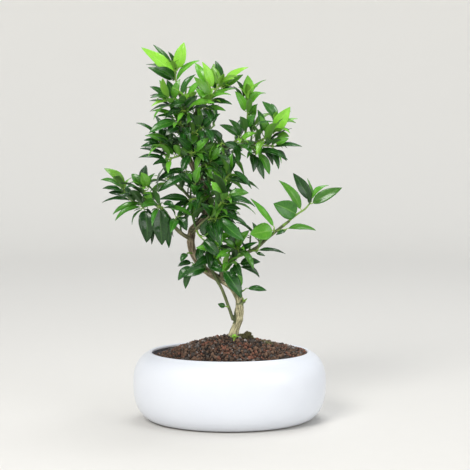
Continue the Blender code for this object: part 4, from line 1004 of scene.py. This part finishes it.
def drill(bowl, x):
    """Cut a drain hole through the bowl's floor."""
    bm = bmesh.new()
    bmesh.ops.create_cone(bm, cap_ends=True, segments=40, radius1=DRAIN_RADIUS,
                          radius2=DRAIN_RADIUS, depth=POT_FLOOR * 4,
                          matrix=Matrix.Translation((x, 0, 0)))
    cutter = bpy.data.objects.new("drain_cutter", bpy.data.meshes.new("drain_cutter"))
    bm.to_mesh(cutter.data)
    bm.free()
    bpy.context.scene.collection.objects.link(cutter)
    cut = bowl.modifiers.new("drain", "BOOLEAN")
    cut.operation = "DIFFERENCE"
    cut.object = cutter
    drilled = evaluated_mesh(bowl)
    bowl.modifiers.clear()
    bowl.data = drilled
    bpy.data.objects.remove(cutter, do_unlink=True)


# ---------------------------------------------------------------- soil

def heap_height(x, y):
    """The soil's height at a place inside the pot: a mound that leans to +X."""
    reach = math.hypot(x, y * POT_WIDTH / POT_DEPTH) / (POT_WIDTH / 2 - POT_WALL)
    edge = SOIL_EDGE + SOIL_TILT * x
    return edge + (SOIL_PEAK - edge) * max(0.0, 1 - reach ** SOIL_SLOPE)


def soil_bed(finish):
    """The dark bed under the granules: the heap's shape a little lower, roughened."""
    rim = pot_radius(SOIL_EDGE, SOIL_WALL)
    floor = POT_FLOOR + 0.4 * MM
    heights = [floor + (POT_BELLY_HEIGHT - floor) * level for level in (0, 0.03, 0.16, 0.45, 1.0)]
    side = [(pot_radius(z, SOIL_WALL, floor), z) for z in heights]
    above = POT_HEIGHT + 1      # marks the corners that get the heap's height
    top = [(rim * (1 - k / SOIL_RINGS), above) for k in range(SOIL_RINGS)]
    corners, faces = turned([(0, floor), *side, *top, (0, above)], 96)
    for corner in corners:
        if corner.z > POT_HEIGHT:
            rough = noise.noise(corner.xyz * 260) + 0.5 * noise.noise(corner.xyz * 620)
            corner.z = heap_height(corner.x, corner.y) - SOIL_SINK + rough * 0.9 * MM
    piece = Mesh()
    piece.add(corners, faces)
    piece.build("soil_bed", [finish], "lava_granules", ["soil"])


def ball(detail, reshape):
    """Corners and faces of a ball whose corners a function moves."""
    bm = bmesh.new()
    bmesh.ops.create_icosphere(bm, subdivisions=detail, radius=1.0)
    for vertex in bm.verts:
        vertex.co = reshape(vertex.co.normalized())
    corners = [vertex.co.copy() for vertex in bm.verts]
    faces = [[vertex.index for vertex in face.verts] for face in bm.faces]
    bm.free()
    return corners, faces


def rock(seed, detail):
    """A pitted, angular lump of about unit radius: corners and faces."""
    chance = random.Random(seed)
    stretch = [chance.uniform(*ends) for ends in ((0.75, 1.25), (0.7, 1.1), (0.6, 0.9))]
    shift = Vector((seed * 7.3, 0, 0))
    cuts = [Vector([chance.gauss(0, 1) for _ in range(3)]).normalized() for _ in range(5)]

    def reshape(way):
        reach = 1 + 0.34 * noise.noise(way * 1.6 + shift) + 0.22 * noise.noise(way * 4.1 + shift)
        for cut in cuts:
            facing = way.dot(cut)
            if facing > 0.72:
                reach = min(reach, 0.74 / facing)
        return Vector(way[k] * reach * stretch[k] for k in range(3))

    return ball(detail, reshape)


def keeps_off(x, y, radius, room, share):
    """Whether a granule keeps off a round place on the heap."""
    centre_x, centre_y, reach = room
    return math.hypot(x - centre_x, y - centre_y) >= reach + radius * share


def granule_spots():
    """Centres and radii of the granules, thrown on the heap so that none hides another."""
    chance = random.Random(SEEDS["spots"])
    low, high = GRANULE_RADII
    spots = np.zeros((0, 4))
    inner = pot_radius(SOIL_EDGE, POT_WALL) / MM
    moss = Vector(ROOM_FOR_MOSS[:3])
    for _ in range(GRANULE_TRIALS):
        radius = low + (high - low) * chance.random() ** 2.4
        turn = chance.uniform(0, 2 * math.pi)
        reach = math.sqrt(chance.random())
        sink = GRANULE_SINKS[chance.random() < DEEP_SHARE]
        x, y = reach * inner * math.cos(turn), reach * inner * math.sin(turn) * POT_OVAL
        z = heap_height(x * MM, y * MM) / MM - sink - radius * 0.3
        z += chance.uniform(-0.6, 0.6)
        wall = pot_radius(min((z + radius) * MM, POT_NECK), POT_WALL) / MM - radius * 1.5
        if (math.hypot(x, y / POT_OVAL) <= wall
                and keeps_off(x, y, radius, ROOM_FOR_TRUNK, 0.7)
                and keeps_off(x, y, radius, ROOM_FOR_SPROUT, 0.0)
                and (Vector((x, y, z)) - moss).length >= ROOM_FOR_MOSS[3] + radius * 0.5):
            spot = np.array((x, y, z, radius))
            apart = np.linalg.norm(spots[:, :3] - spot[:3], axis=1)
            if (apart > (spots[:, 3] + radius) * GRANULE_APART).all():
                spots = np.vstack([spots, spot])
    return spots


def granules(finishes):
    """The lava granules, gathered by colour into one piece each."""
    fine = [rock(seed, 2) for seed in range(10)]
    plain = [rock(seed + 20, 1) for seed in range(12)]
    pieces = {colour: Mesh() for colour in GRANULE_COLOURS}
    chance = random.Random(SEEDS["granules"])
    for x, y, z, radius in granule_spots():
        shapes = fine if radius > FINE_GRANULE and y < FINE_BACK else plain
        corners, faces = shapes[chance.randrange(len(shapes))]
        spin = Quaternion([chance.gauss(0, 1) for _ in range(4)]).normalized().to_matrix()
        placed = np.array(corners) @ np.array(spin).T * radius * GRANULE_SWELL + (x, y, z)
        patch = noise.noise(Vector((x, y, 3.0)) * 0.06)
        shares = dict(GRANULE_COLOURS)
        shares["red"] = max(0.02, shares["red"] + 0.55 * patch)
        colour = chance.choices(list(shares), list(shares.values()))[0]
        green_x, green_y, reach_x, reach_y = LICHEN
        lichen = math.exp(-((x - green_x) / reach_x) ** 2 - ((y - green_y) / reach_y) ** 2)
        lichen *= chance.uniform(0.3, 1)
        kind = (chance.uniform(0, 1), lichen, chance.uniform(0, 10))
        pieces[colour].add(placed * MM, faces, corners, kind)
    for colour, piece in pieces.items():
        made = piece.build(f"granules_{colour}", [finishes[colour]], "lava_granules")
        made.data.shade_flat()


def moss(finish):
    """The olive lump by the trunk: grown-together clods covered in short, leaning tufts."""
    chance = random.Random(SEEDS["moss"])
    piece = Mesh()
    for *place, radius in MOSS_LOBES:
        centre = Vector(place) * MM

        def reshape(way):
            swell = 1 + 0.3 * noise.noise(way * 1.9 + centre * 900) + 0.16 * noise.noise(way * 5)
            return centre + way * radius * swell * MM

        tops, faces = ball(4, reshape)
        piece.add(tops, faces)
        for corner in chance.sample(tops, MOSS_TUFTS):
            out = (corner - centre).normalized()
            if out.z < -0.2:
                continue
            lean = (out + Vector([chance.uniform(-0.6, 0.6) for _ in range(3)])).normalized()
            points = [corner - out * 0.2 * MM, corner + lean * chance.uniform(0.6, 1.3) * MM]
            piece.add_bar(points, [0.2 * MM, 0.06 * MM], 4, (0, chance.uniform(0, 1), 1), 0)
    piece.build("moss_tufts", [finish], "moss", ["moss_clump"])


def sprout(finishes):
    """The seedling in front of the trunk."""
    foot, top = Vector((4, -16, 85.5)), Vector((5, -16, 93.5))
    piece = Mesh()
    piece.add_bar([foot * MM, (foot + top) / 2 * MM, top * MM],
                  [0.9 * MM, 0.75 * MM, 0.6 * MM], 10, (1, 0.6, 0))
    chance = random.Random(SEEDS["sprout"])
    for x, y, z in ((6, -2, 2), (-5, -3, 3), (1, 4, 4), (2, -5, 3), (-2, 2, 4)):
        reach = Vector((x, y, z))
        normal = (Vector((0, 0, 1)) - reach * reach.z / reach.length_squared).normalized()
        leaf = Leaf(top - Vector((0, 0, 1)), top + reach * 0.25, top + reach, 3.8, normal, NEW)
        add_leaf(piece, leaf, chance, (1.05, 1.0, NEW))
    piece.build("sprout_leaves", finishes, "sprout_green", ["sprout"])


def stub_buds(finishes):
    """Two pale buds that fork from the pruned stub beside the trunk."""
    foot = Vector((15.6, -2.2, 132.4))
    piece = Mesh()
    for tip in (Vector((19.4, -3.2, 136.2)), Vector((14.8, -4.2, 137.2))):
        piece.add_bar([foot * MM, (foot * 0.55 + tip * 0.45) * MM, tip * MM],
                      [1.2 * MM, 1.0 * MM, 0.45 * MM], 10, (0.9, 0.5, 0))
    piece.build("stub_buds", finishes, "leaf_new")


# ---------------------------------------------------------------- materials

class Finish:
    """A Principled BSDF and short calls that add the nodes which feed it."""

    def __init__(self, name, **constants):
        self.made = bpy.data.materials.new(name)
        self.made.use_nodes = True
        self.tree = self.made.node_tree
        self.shader = self.tree.nodes["Principled BSDF"]
        for socket, value in constants.items():
            self.shader.inputs[socket.replace("_", " ")].default_value = value

    def add(self, kind, inputs, output=0, **settings):
        """Add a node; inputs holds sockets or values, by the input's name or number."""
        node = self.tree.nodes.new(kind)
        for key, value in settings.items():
            setattr(node, key, value)
        for socket, value in inputs.items():
            if isinstance(value, bpy.types.NodeSocket):
                self.tree.links.new(value, node.inputs[socket])
            else:
                node.inputs[socket].default_value = value
        return node.outputs[output]

    def vector(self, name):
        return self.add("ShaderNodeAttribute", {}, "Vector", attribute_name=name)

    def position(self):
        return self.add("ShaderNodeNewGeometry", {}, "Position")

    def split(self, vector):
        """The three numbers of a vector."""
        return self.add("ShaderNodeSeparateXYZ", {0: vector}).node.outputs[:3]

    def joined(self, x, y, z):
        return self.add("ShaderNodeCombineXYZ", {0: x, 1: y, 2: z})

    def stretched(self, vector, scale):
        return self.add("ShaderNodeVectorMath", {0: vector, 1: scale}, operation="MULTIPLY")

    def noise(self, vector, scale, detail=3.0, roughness=0.55):
        return self.add("ShaderNodeTexNoise", {"Vector": vector, "Scale": scale, "Detail": detail,
                                               "Roughness": roughness})

    def cells(self, vector, scale):
        return self.add("ShaderNodeTexVoronoi", {"Vector": vector, "Scale": scale}, "Distance")

    def math(self, operation, a, b=0.0, c=0.0):
        return self.add("ShaderNodeMath", {0: a, 1: b, 2: c}, operation=operation)

    def plus(self, a, b):
        return self.math("ADD", a, b)

    def minus(self, a, b):
        return self.math("SUBTRACT", a, b)

    def times(self, a, b):
        return self.math("MULTIPLY", a, b)

    def stirred(self, value, noise, width):
        """A value spread by a noise about the middle of its range."""
        return self.plus(value, self.math("MULTIPLY_ADD", noise, width, -width / 2))

    def between(self, value, low, high, to_low=0.0, to_high=1.0):
        """Map a range of values smoothly to another."""
        return self.add("ShaderNodeMapRange", {"Value": value, "From Min": low, "From Max": high,
                                               "To Min": to_low, "To Max": to_high},
                        interpolation_type="SMOOTHSTEP")

    def over(self, noise, to_low, to_high):
        """Map the usual range of a noise."""
        return self.between(noise, 0.3, 0.7, to_low, to_high)

    def ramp(self, value, *stops):
        """Colours by value, from (place, colour) stops."""
        made = self.add("ShaderNodeValToRGB", {0: value})
        ramp = made.node.color_ramp
        for number, (place, colour) in enumerate(stops):
            stop = ramp.elements[number] if number < 2 else ramp.elements.new(place)
            stop.position = place
            stop.color = (*colour, 1)
        return made

    def mix(self, share, a, b, blend="MIX"):
        """Two colours mixed; a colour given as three numbers is a plain one."""
        a, b = [(*colour, 1) if isinstance(colour, tuple) else colour for colour in (a, b)]
        return self.add("ShaderNodeMix", {0: share, 6: a, 7: b}, 2, data_type="RGBA",
                        blend_type=blend)

    def scaled(self, colour, value):
        """A colour made lighter or darker by a value."""
        return self.mix(1.0, colour, self.joined(value, value, value), "MULTIPLY")

    def finish(self, colour, roughness, height=None, depth=0.0002, strength=0.6):
        """Feed colour, roughness and relief to the shader."""
        self.tree.links.new(colour, self.shader.inputs["Base Color"])
        self.tree.links.new(roughness, self.shader.inputs["Roughness"])
        if height:
            bump = self.add("ShaderNodeBump", {"Height": height, "Distance": depth,
                                               "Strength": strength})
            self.tree.links.new(bump, self.shader.inputs["Normal"])
        return self.made


def leaf_finish():
    """Glossy leaf: colour by age, pale midrib and side veins, mottled, greyer underneath."""
    make = Finish("leaf", Specular_IOR_Level=0.36, Coat_Weight=0.2, Coat_Roughness=0.1)
    across, along, under = make.split(make.vector("place"))
    age, tone, seed = make.split(make.vector("kind"))
    edge = make.math("ABSOLUTE", across)
    spot = make.joined(across, along, seed)
    mottle = make.noise(make.stretched(spot, (0.7, 2.2, 1.0)), 2.2, 4.0)
    speck = make.noise(make.position(), 1300.0, 2.0)
    base = make.ramp(make.stirred(age, mottle, 0.34),
                     (0.0, (0.009, 0.056, 0.006)), (0.3, (0.027, 0.136, 0.011)),
                     (0.62, (0.090, 0.300, 0.020)), (1.0, (0.220, 0.510, 0.041)))
    veins = make.math("SINE", make.times(make.minus(along, make.times(edge, 0.16)), 66.0))
    veins = make.between(veins, 0.72, 1.0)
    rib = make.between(edge, 0.11, 0.03)
    pale = make.math("MAXIMUM", rib, make.times(veins, 0.28))
    base = make.mix(make.times(pale, 0.5), base, make.mix(
        age, (0.070, 0.21, 0.035), (0.27, 0.54, 0.07)))
    base = make.mix(make.times(under, 0.42), base, make.mix(
        age, (0.080, 0.175, 0.045), (0.24, 0.47, 0.07)))
    base = make.scaled(base, make.between(tone, 0.0, 1.0, 0.72, 1.4))
    base = make.scaled(base, make.over(speck, 0.9, 1.1))
    rough = make.between(make.plus(under, make.times(mottle, 0.25)), 0.0, 1.2, 0.17, 0.58)
    relief = make.minus(make.times(speck, 0.25), make.plus(make.times(veins, 0.5), rib))
    return make.finish(base, rough, relief, 0.00022, 0.5)


def stem_finish():
    """Young green stems and stalks, browner when older, with fine length-wise lines."""
    make = Finish("stem")
    age, tone, _ = make.split(make.vector("kind"))
    lines = make.noise(make.stretched(make.vector("place"), (2600, 2600, 160)), 1.0, 3.0)
    blotch = make.noise(make.position(), 240.0, 2.0)
    base = make.ramp(make.stirred(age, blotch, 0.5), (0.0, (0.060, 0.080, 0.024)),
                     (0.4, (0.075, 0.175, 0.028)), (1.0, (0.290, 0.480, 0.060)))
    base = make.scaled(base, make.over(lines, 0.75, 1.2))
    base = make.scaled(base, make.between(tone, 0.0, 1.0, 0.85, 1.15))
    return make.finish(base, make.over(blotch, 0.38, 0.55), lines, 0.0001, 0.5)


def bark_finish():
    """Grey-olive bark with dark furrows, darker higher up and green on thin branches."""
    make = Finish("bark")
    place = make.vector("place")
    grown, ridge, height = make.split(make.vector("kind"))
    streak = make.noise(make.stretched(place, (1.9, 1.9, 0.16)), 1.0, 5.0, 0.65)
    fine = make.noise(make.stretched(place, (6.0, 6.0, 0.9)), 1.0, 4.0)
    patch = make.noise(make.position(), 62.0, 3.0)
    ridged = make.plus(make.times(streak, 0.6), make.times(ridge, 0.4))
    low = make.ramp(ridged, (0.36, (0.066, 0.062, 0.032)), (0.46, (0.265, 0.245, 0.140)),
                    (0.60, (0.660, 0.610, 0.370)))
    high = make.ramp(ridged, (0.34, (0.026, 0.020, 0.013)), (0.46, (0.140, 0.104, 0.062)),
                     (0.60, (0.480, 0.400, 0.265)))
    old = make.mix(make.between(make.stirred(height, patch, 0.05), 0.138, 0.172), low, high)
    old = make.mix(make.between(patch, 0.54, 0.68, 0.0, 0.45), old, (0.16, 0.19, 0.075))
    young = make.ramp(ridged, (0.32, (0.048, 0.066, 0.024)), (0.62, (0.145, 0.185, 0.070)))
    base = make.mix(make.between(grown, 0.10, 0.55), young, old)
    base = make.scaled(base, make.over(fine, 0.72, 1.22))
    relief = make.plus(make.times(streak, 0.7), make.times(fine, 0.4))
    return make.finish(base, make.over(fine, 0.72, 0.9), relief, 0.0006, 0.8)


def glaze_finish():
    """White glaze, satin and slightly cool, thin pinholes, and a bare clay foot."""
    make = Finish("glaze", Coat_Weight=0.25, Coat_Roughness=0.12)
    place = make.position()
    height = make.split(place)[2]
    cloud = make.noise(place, 22.0, 3.0)
    peel = make.noise(place, 420.0, 2.0)
    pinhole = make.between(make.cells(place, 190.0), 0.0, 0.05, 1.0, 0.0)
    colour = make.mix(make.between(cloud, 0.25, 0.75), (0.715, 0.745, 0.810),
                      (0.735, 0.765, 0.825))
    colour = make.mix(make.times(pinhole, 0.12), colour, (0.55, 0.55, 0.56))
    clay = make.ramp(make.noise(place, 900.0, 4.0), (0.3, (0.42, 0.35, 0.27)),
                     (0.7, (0.64, 0.56, 0.46)))
    bare = make.between(make.stirred(height, cloud, 0.0012), 0.0006, 0.0012, 1.0, 0.0)
    rough = make.plus(make.between(cloud, 0.2, 0.8, 0.30, 0.35), make.times(bare, 0.5))
    relief = make.minus(make.times(peel, 0.5), pinhole)
    return make.finish(make.mix(bare, colour, clay), rough, relief, 0.00012, 0.25)


# The colours of each kind of granule in its pits and on its ridges
GRANULE_RAMPS = {"brown": ((0.044, 0.026, 0.017), (0.204, 0.121, 0.078)),
                 "dark": ((0.015, 0.013, 0.013), (0.097, 0.078, 0.065)),
                 "red": ((0.077, 0.031, 0.020), (0.282, 0.119, 0.075)),
                 "grey": ((0.082, 0.072, 0.068), (0.270, 0.243, 0.228))}


def granule_finish(colour):
    """Porous lava: pitted, dull, lighter on its ridges, with a trace of lichen."""
    make = Finish(f"lava_{colour}")
    tone, lichen, seed = make.split(make.vector("kind"))
    spot = make.add("ShaderNodeVectorMath", {0: make.vector("place"),
                                             1: make.joined(seed, seed, seed)}, operation="ADD")
    grain = make.noise(spot, 3.0, 5.0, 0.7)
    level = make.plus(make.times(grain, 0.75), make.times(make.cells(spot, 3.4), 0.35))
    dark, light = GRANULE_RAMPS[colour]
    base = make.ramp(level, (0.32, dark), (0.72, light))
    base = make.scaled(base, make.between(tone, 0.0, 1.0, 0.6, 1.5))
    green = make.between(make.times(lichen, make.plus(grain, 0.5)), 0.25, 0.75, 0.0, 0.75)
    base = make.mix(green, base, (0.17, 0.19, 0.07))
    return make.finish(base, make.over(grain, 0.78, 0.95), level, 0.0009, 0.9)


def bed_finish():
    """Fine dark dust and grit between the granules."""
    make = Finish("lava_grit")
    grit = make.noise(make.position(), 900.0, 5.0, 0.7)
    colour = make.ramp(grit, (0.35, (0.010, 0.007, 0.006)), (0.7, (0.060, 0.036, 0.028)))
    return make.finish(colour, make.over(grit, 0.85, 1.0), grit, 0.001, 1.0)


def moss_finish():
    """Olive moss on a brown clod, its tufts lighter."""
    make = Finish("moss")
    _, tone, tuft = make.split(make.vector("kind"))
    patch = make.noise(make.position(), 420.0, 4.0)
    clod = make.ramp(patch, (0.35, (0.030, 0.022, 0.011)), (0.65, (0.085, 0.078, 0.026)))
    blades = make.ramp(tone, (0.0, (0.040, 0.044, 0.012)), (1.0, (0.160, 0.150, 0.048)))
    return make.finish(make.mix(tuft, clod, blades), make.over(patch, 0.8, 0.95), patch, 0.0005,
                       0.8)


def screen_finish():
    """Moulded black plastic net: fine strands and patches of dust."""
    make = Finish("net_plastic")
    place = make.position()
    strands = make.add("ShaderNodeTexWave", {"Vector": place, "Scale": 260, "Distortion": 1.5})
    dust = make.noise(place, 300.0, 4.0)
    colour = make.mix(make.between(dust, 0.5, 0.7, 0.0, 0.5), (0.016, 0.017, 0.017),
                      (0.075, 0.055, 0.042))
    return make.finish(colour, make.over(dust, 0.42, 0.65), strands, 0.0003, 0.5)


def floor_finish():
    """Pale matt paper, lighter far from the object: painted light where the lamps reach less."""
    make = Finish("floor_paper")
    place = make.position()
    tooth = make.noise(place, 60.0, 3.0)
    colour = make.mix(tooth, (0.700, 0.685, 0.655), (0.725, 0.710, 0.680))
    # painted light: the paper grows lighter with distance, so the far floor and wall, which the
    # lamps light less, look evenly pale
    reach = make.add("ShaderNodeVectorMath", {0: place}, "Value", operation="LENGTH")
    colour = make.mix(make.between(reach, 0.5, 2.6), colour, (0.92, 0.905, 0.87))
    return make.finish(colour, make.over(tooth, 0.85, 0.95))


# ---------------------------------------------------------------- studio

FLOOR_FLAT, FLOOR_BEND, FLOOR_TOP = 2.0, 1.0, 1.25      # radius, radius of the bend, height, m
FLOOR_SIDES = 72
SKY_COLOUR, SKY_STRENGTH = (0.93, 0.965, 1.0, 1), 0.38
LIT_POINT = (0, 0, 0.24)
# Lights: place, size, watts, colour
LIGHTS = {"key": ((-1.0, -1.9, 1.7), 1.0, 44, (1.0, 0.98, 0.95)),
          "fill": ((1.7, -1.5, 0.9), 1.3, 14, (0.97, 0.985, 1.0)),
          "top": ((0.2, 0.4, 2.2), 1.2, 25, (0.98, 0.99, 1.0))}
CAMERA_PLACE = (0.006, -1.5, 0.32)
FRAME_PIXELS = 470
FOCAL_PIXELS = 1352
SENSOR = 36
HORIZON = 0.217             # how far above the middle the horizon lies, as a share of the frame
SHIFT = 0.07                # the share of that which the lens is shifted by


def stage():
    """A pale floor that rises far away into a curved wall all round."""
    profile = [(FLOOR_FLAT * k / 6, 0.0) for k in range(7)]
    for degrees in range(9, 91, 9):
        turn = math.radians(degrees)
        profile.append((FLOOR_FLAT + FLOOR_BEND * math.sin(turn),
                        FLOOR_BEND - FLOOR_BEND * math.cos(turn)))
    profile.append((FLOOR_FLAT + FLOOR_BEND, FLOOR_TOP))
    turns = [2 * math.pi * k / FLOOR_SIDES for k in range(FLOOR_SIDES)]
    corners = [(radius * math.cos(turn), radius * math.sin(turn), z)
               for radius, z in profile for turn in turns]
    mesh = bpy.data.meshes.new("floor")
    mesh.from_pydata(corners, [], ring_faces(len(profile), FLOOR_SIDES))
    mesh.materials.append(floor_finish())
    mesh.shade_smooth()
    floor = bpy.data.objects.new("floor", mesh)
    bpy.context.scene.collection.objects.link(floor)


def lights():
    """A soft, bright studio: key from the upper front left, fill, and light from above."""
    world = bpy.data.worlds.new("studio")
    world.use_nodes = True
    sky = world.node_tree.nodes["Background"]
    sky.inputs["Color"].default_value = SKY_COLOUR
    sky.inputs["Strength"].default_value = SKY_STRENGTH
    bpy.context.scene.world = world
    for name, (place, size, power, colour) in LIGHTS.items():
        data = bpy.data.lights.new(name, "AREA")
        data.size = size
        data.energy = power
        data.color = colour
        lamp = bpy.data.objects.new(name, data)
        lamp.location = place
        aim = Vector(LIT_POINT) - Vector(place)
        lamp.rotation_euler = aim.to_track_quat("-Z", "Y").to_euler()
        bpy.context.scene.collection.objects.link(lamp)


def camera():
    """Straight on and a little from above, far off with a long lens."""
    data = bpy.data.cameras.new("camera")
    data.sensor_width = SENSOR
    data.lens = FOCAL_PIXELS / FRAME_PIXELS * SENSOR
    data.shift_y = -SHIFT
    view = bpy.data.objects.new("camera", data)
    view.location = CAMERA_PLACE
    pitch = math.atan((HORIZON - SHIFT) * FRAME_PIXELS / FOCAL_PIXELS)
    view.rotation_euler = (math.pi / 2 - pitch, 0, 0)
    bpy.context.scene.collection.objects.link(view)
    bpy.context.scene.camera = view


# ---------------------------------------------------------------- the scene


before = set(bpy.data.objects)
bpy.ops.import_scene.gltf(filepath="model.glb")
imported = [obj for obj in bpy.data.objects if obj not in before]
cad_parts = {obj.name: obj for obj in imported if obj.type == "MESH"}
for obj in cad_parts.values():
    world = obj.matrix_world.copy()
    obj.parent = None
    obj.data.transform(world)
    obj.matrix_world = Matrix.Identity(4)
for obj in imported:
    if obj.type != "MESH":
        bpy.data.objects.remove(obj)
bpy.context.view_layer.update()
bpy.context.scene.view_settings.view_transform = "Standard"
crown, stems, leaves = plan_crown()
planned = {label: len(found) for label, found in leaves.items()}
extra_leaves(crown, stems, leaves)
tip_leaves(crown, stems, leaves)
more_leaves(crown, stems, leaves)
twigs = grow_twigs(crown)
green = [leaf_finish(), stem_finish()]
shoots(stems, planned, leaves, twigs, green)
wood(bark_finish())
pot(glaze_finish())
soil_bed(bed_finish())
granules({colour: granule_finish(colour) for colour in GRANULE_COLOURS})
moss(moss_finish())
sprout(green)
stub_buds(green)
net = screen_finish()
for side in ("left", "right"):
    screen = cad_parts[f"drain_screen_{side}"]
    screen.data.materials.clear()
    screen.data.materials.append(net)
stage()
lights()
camera()
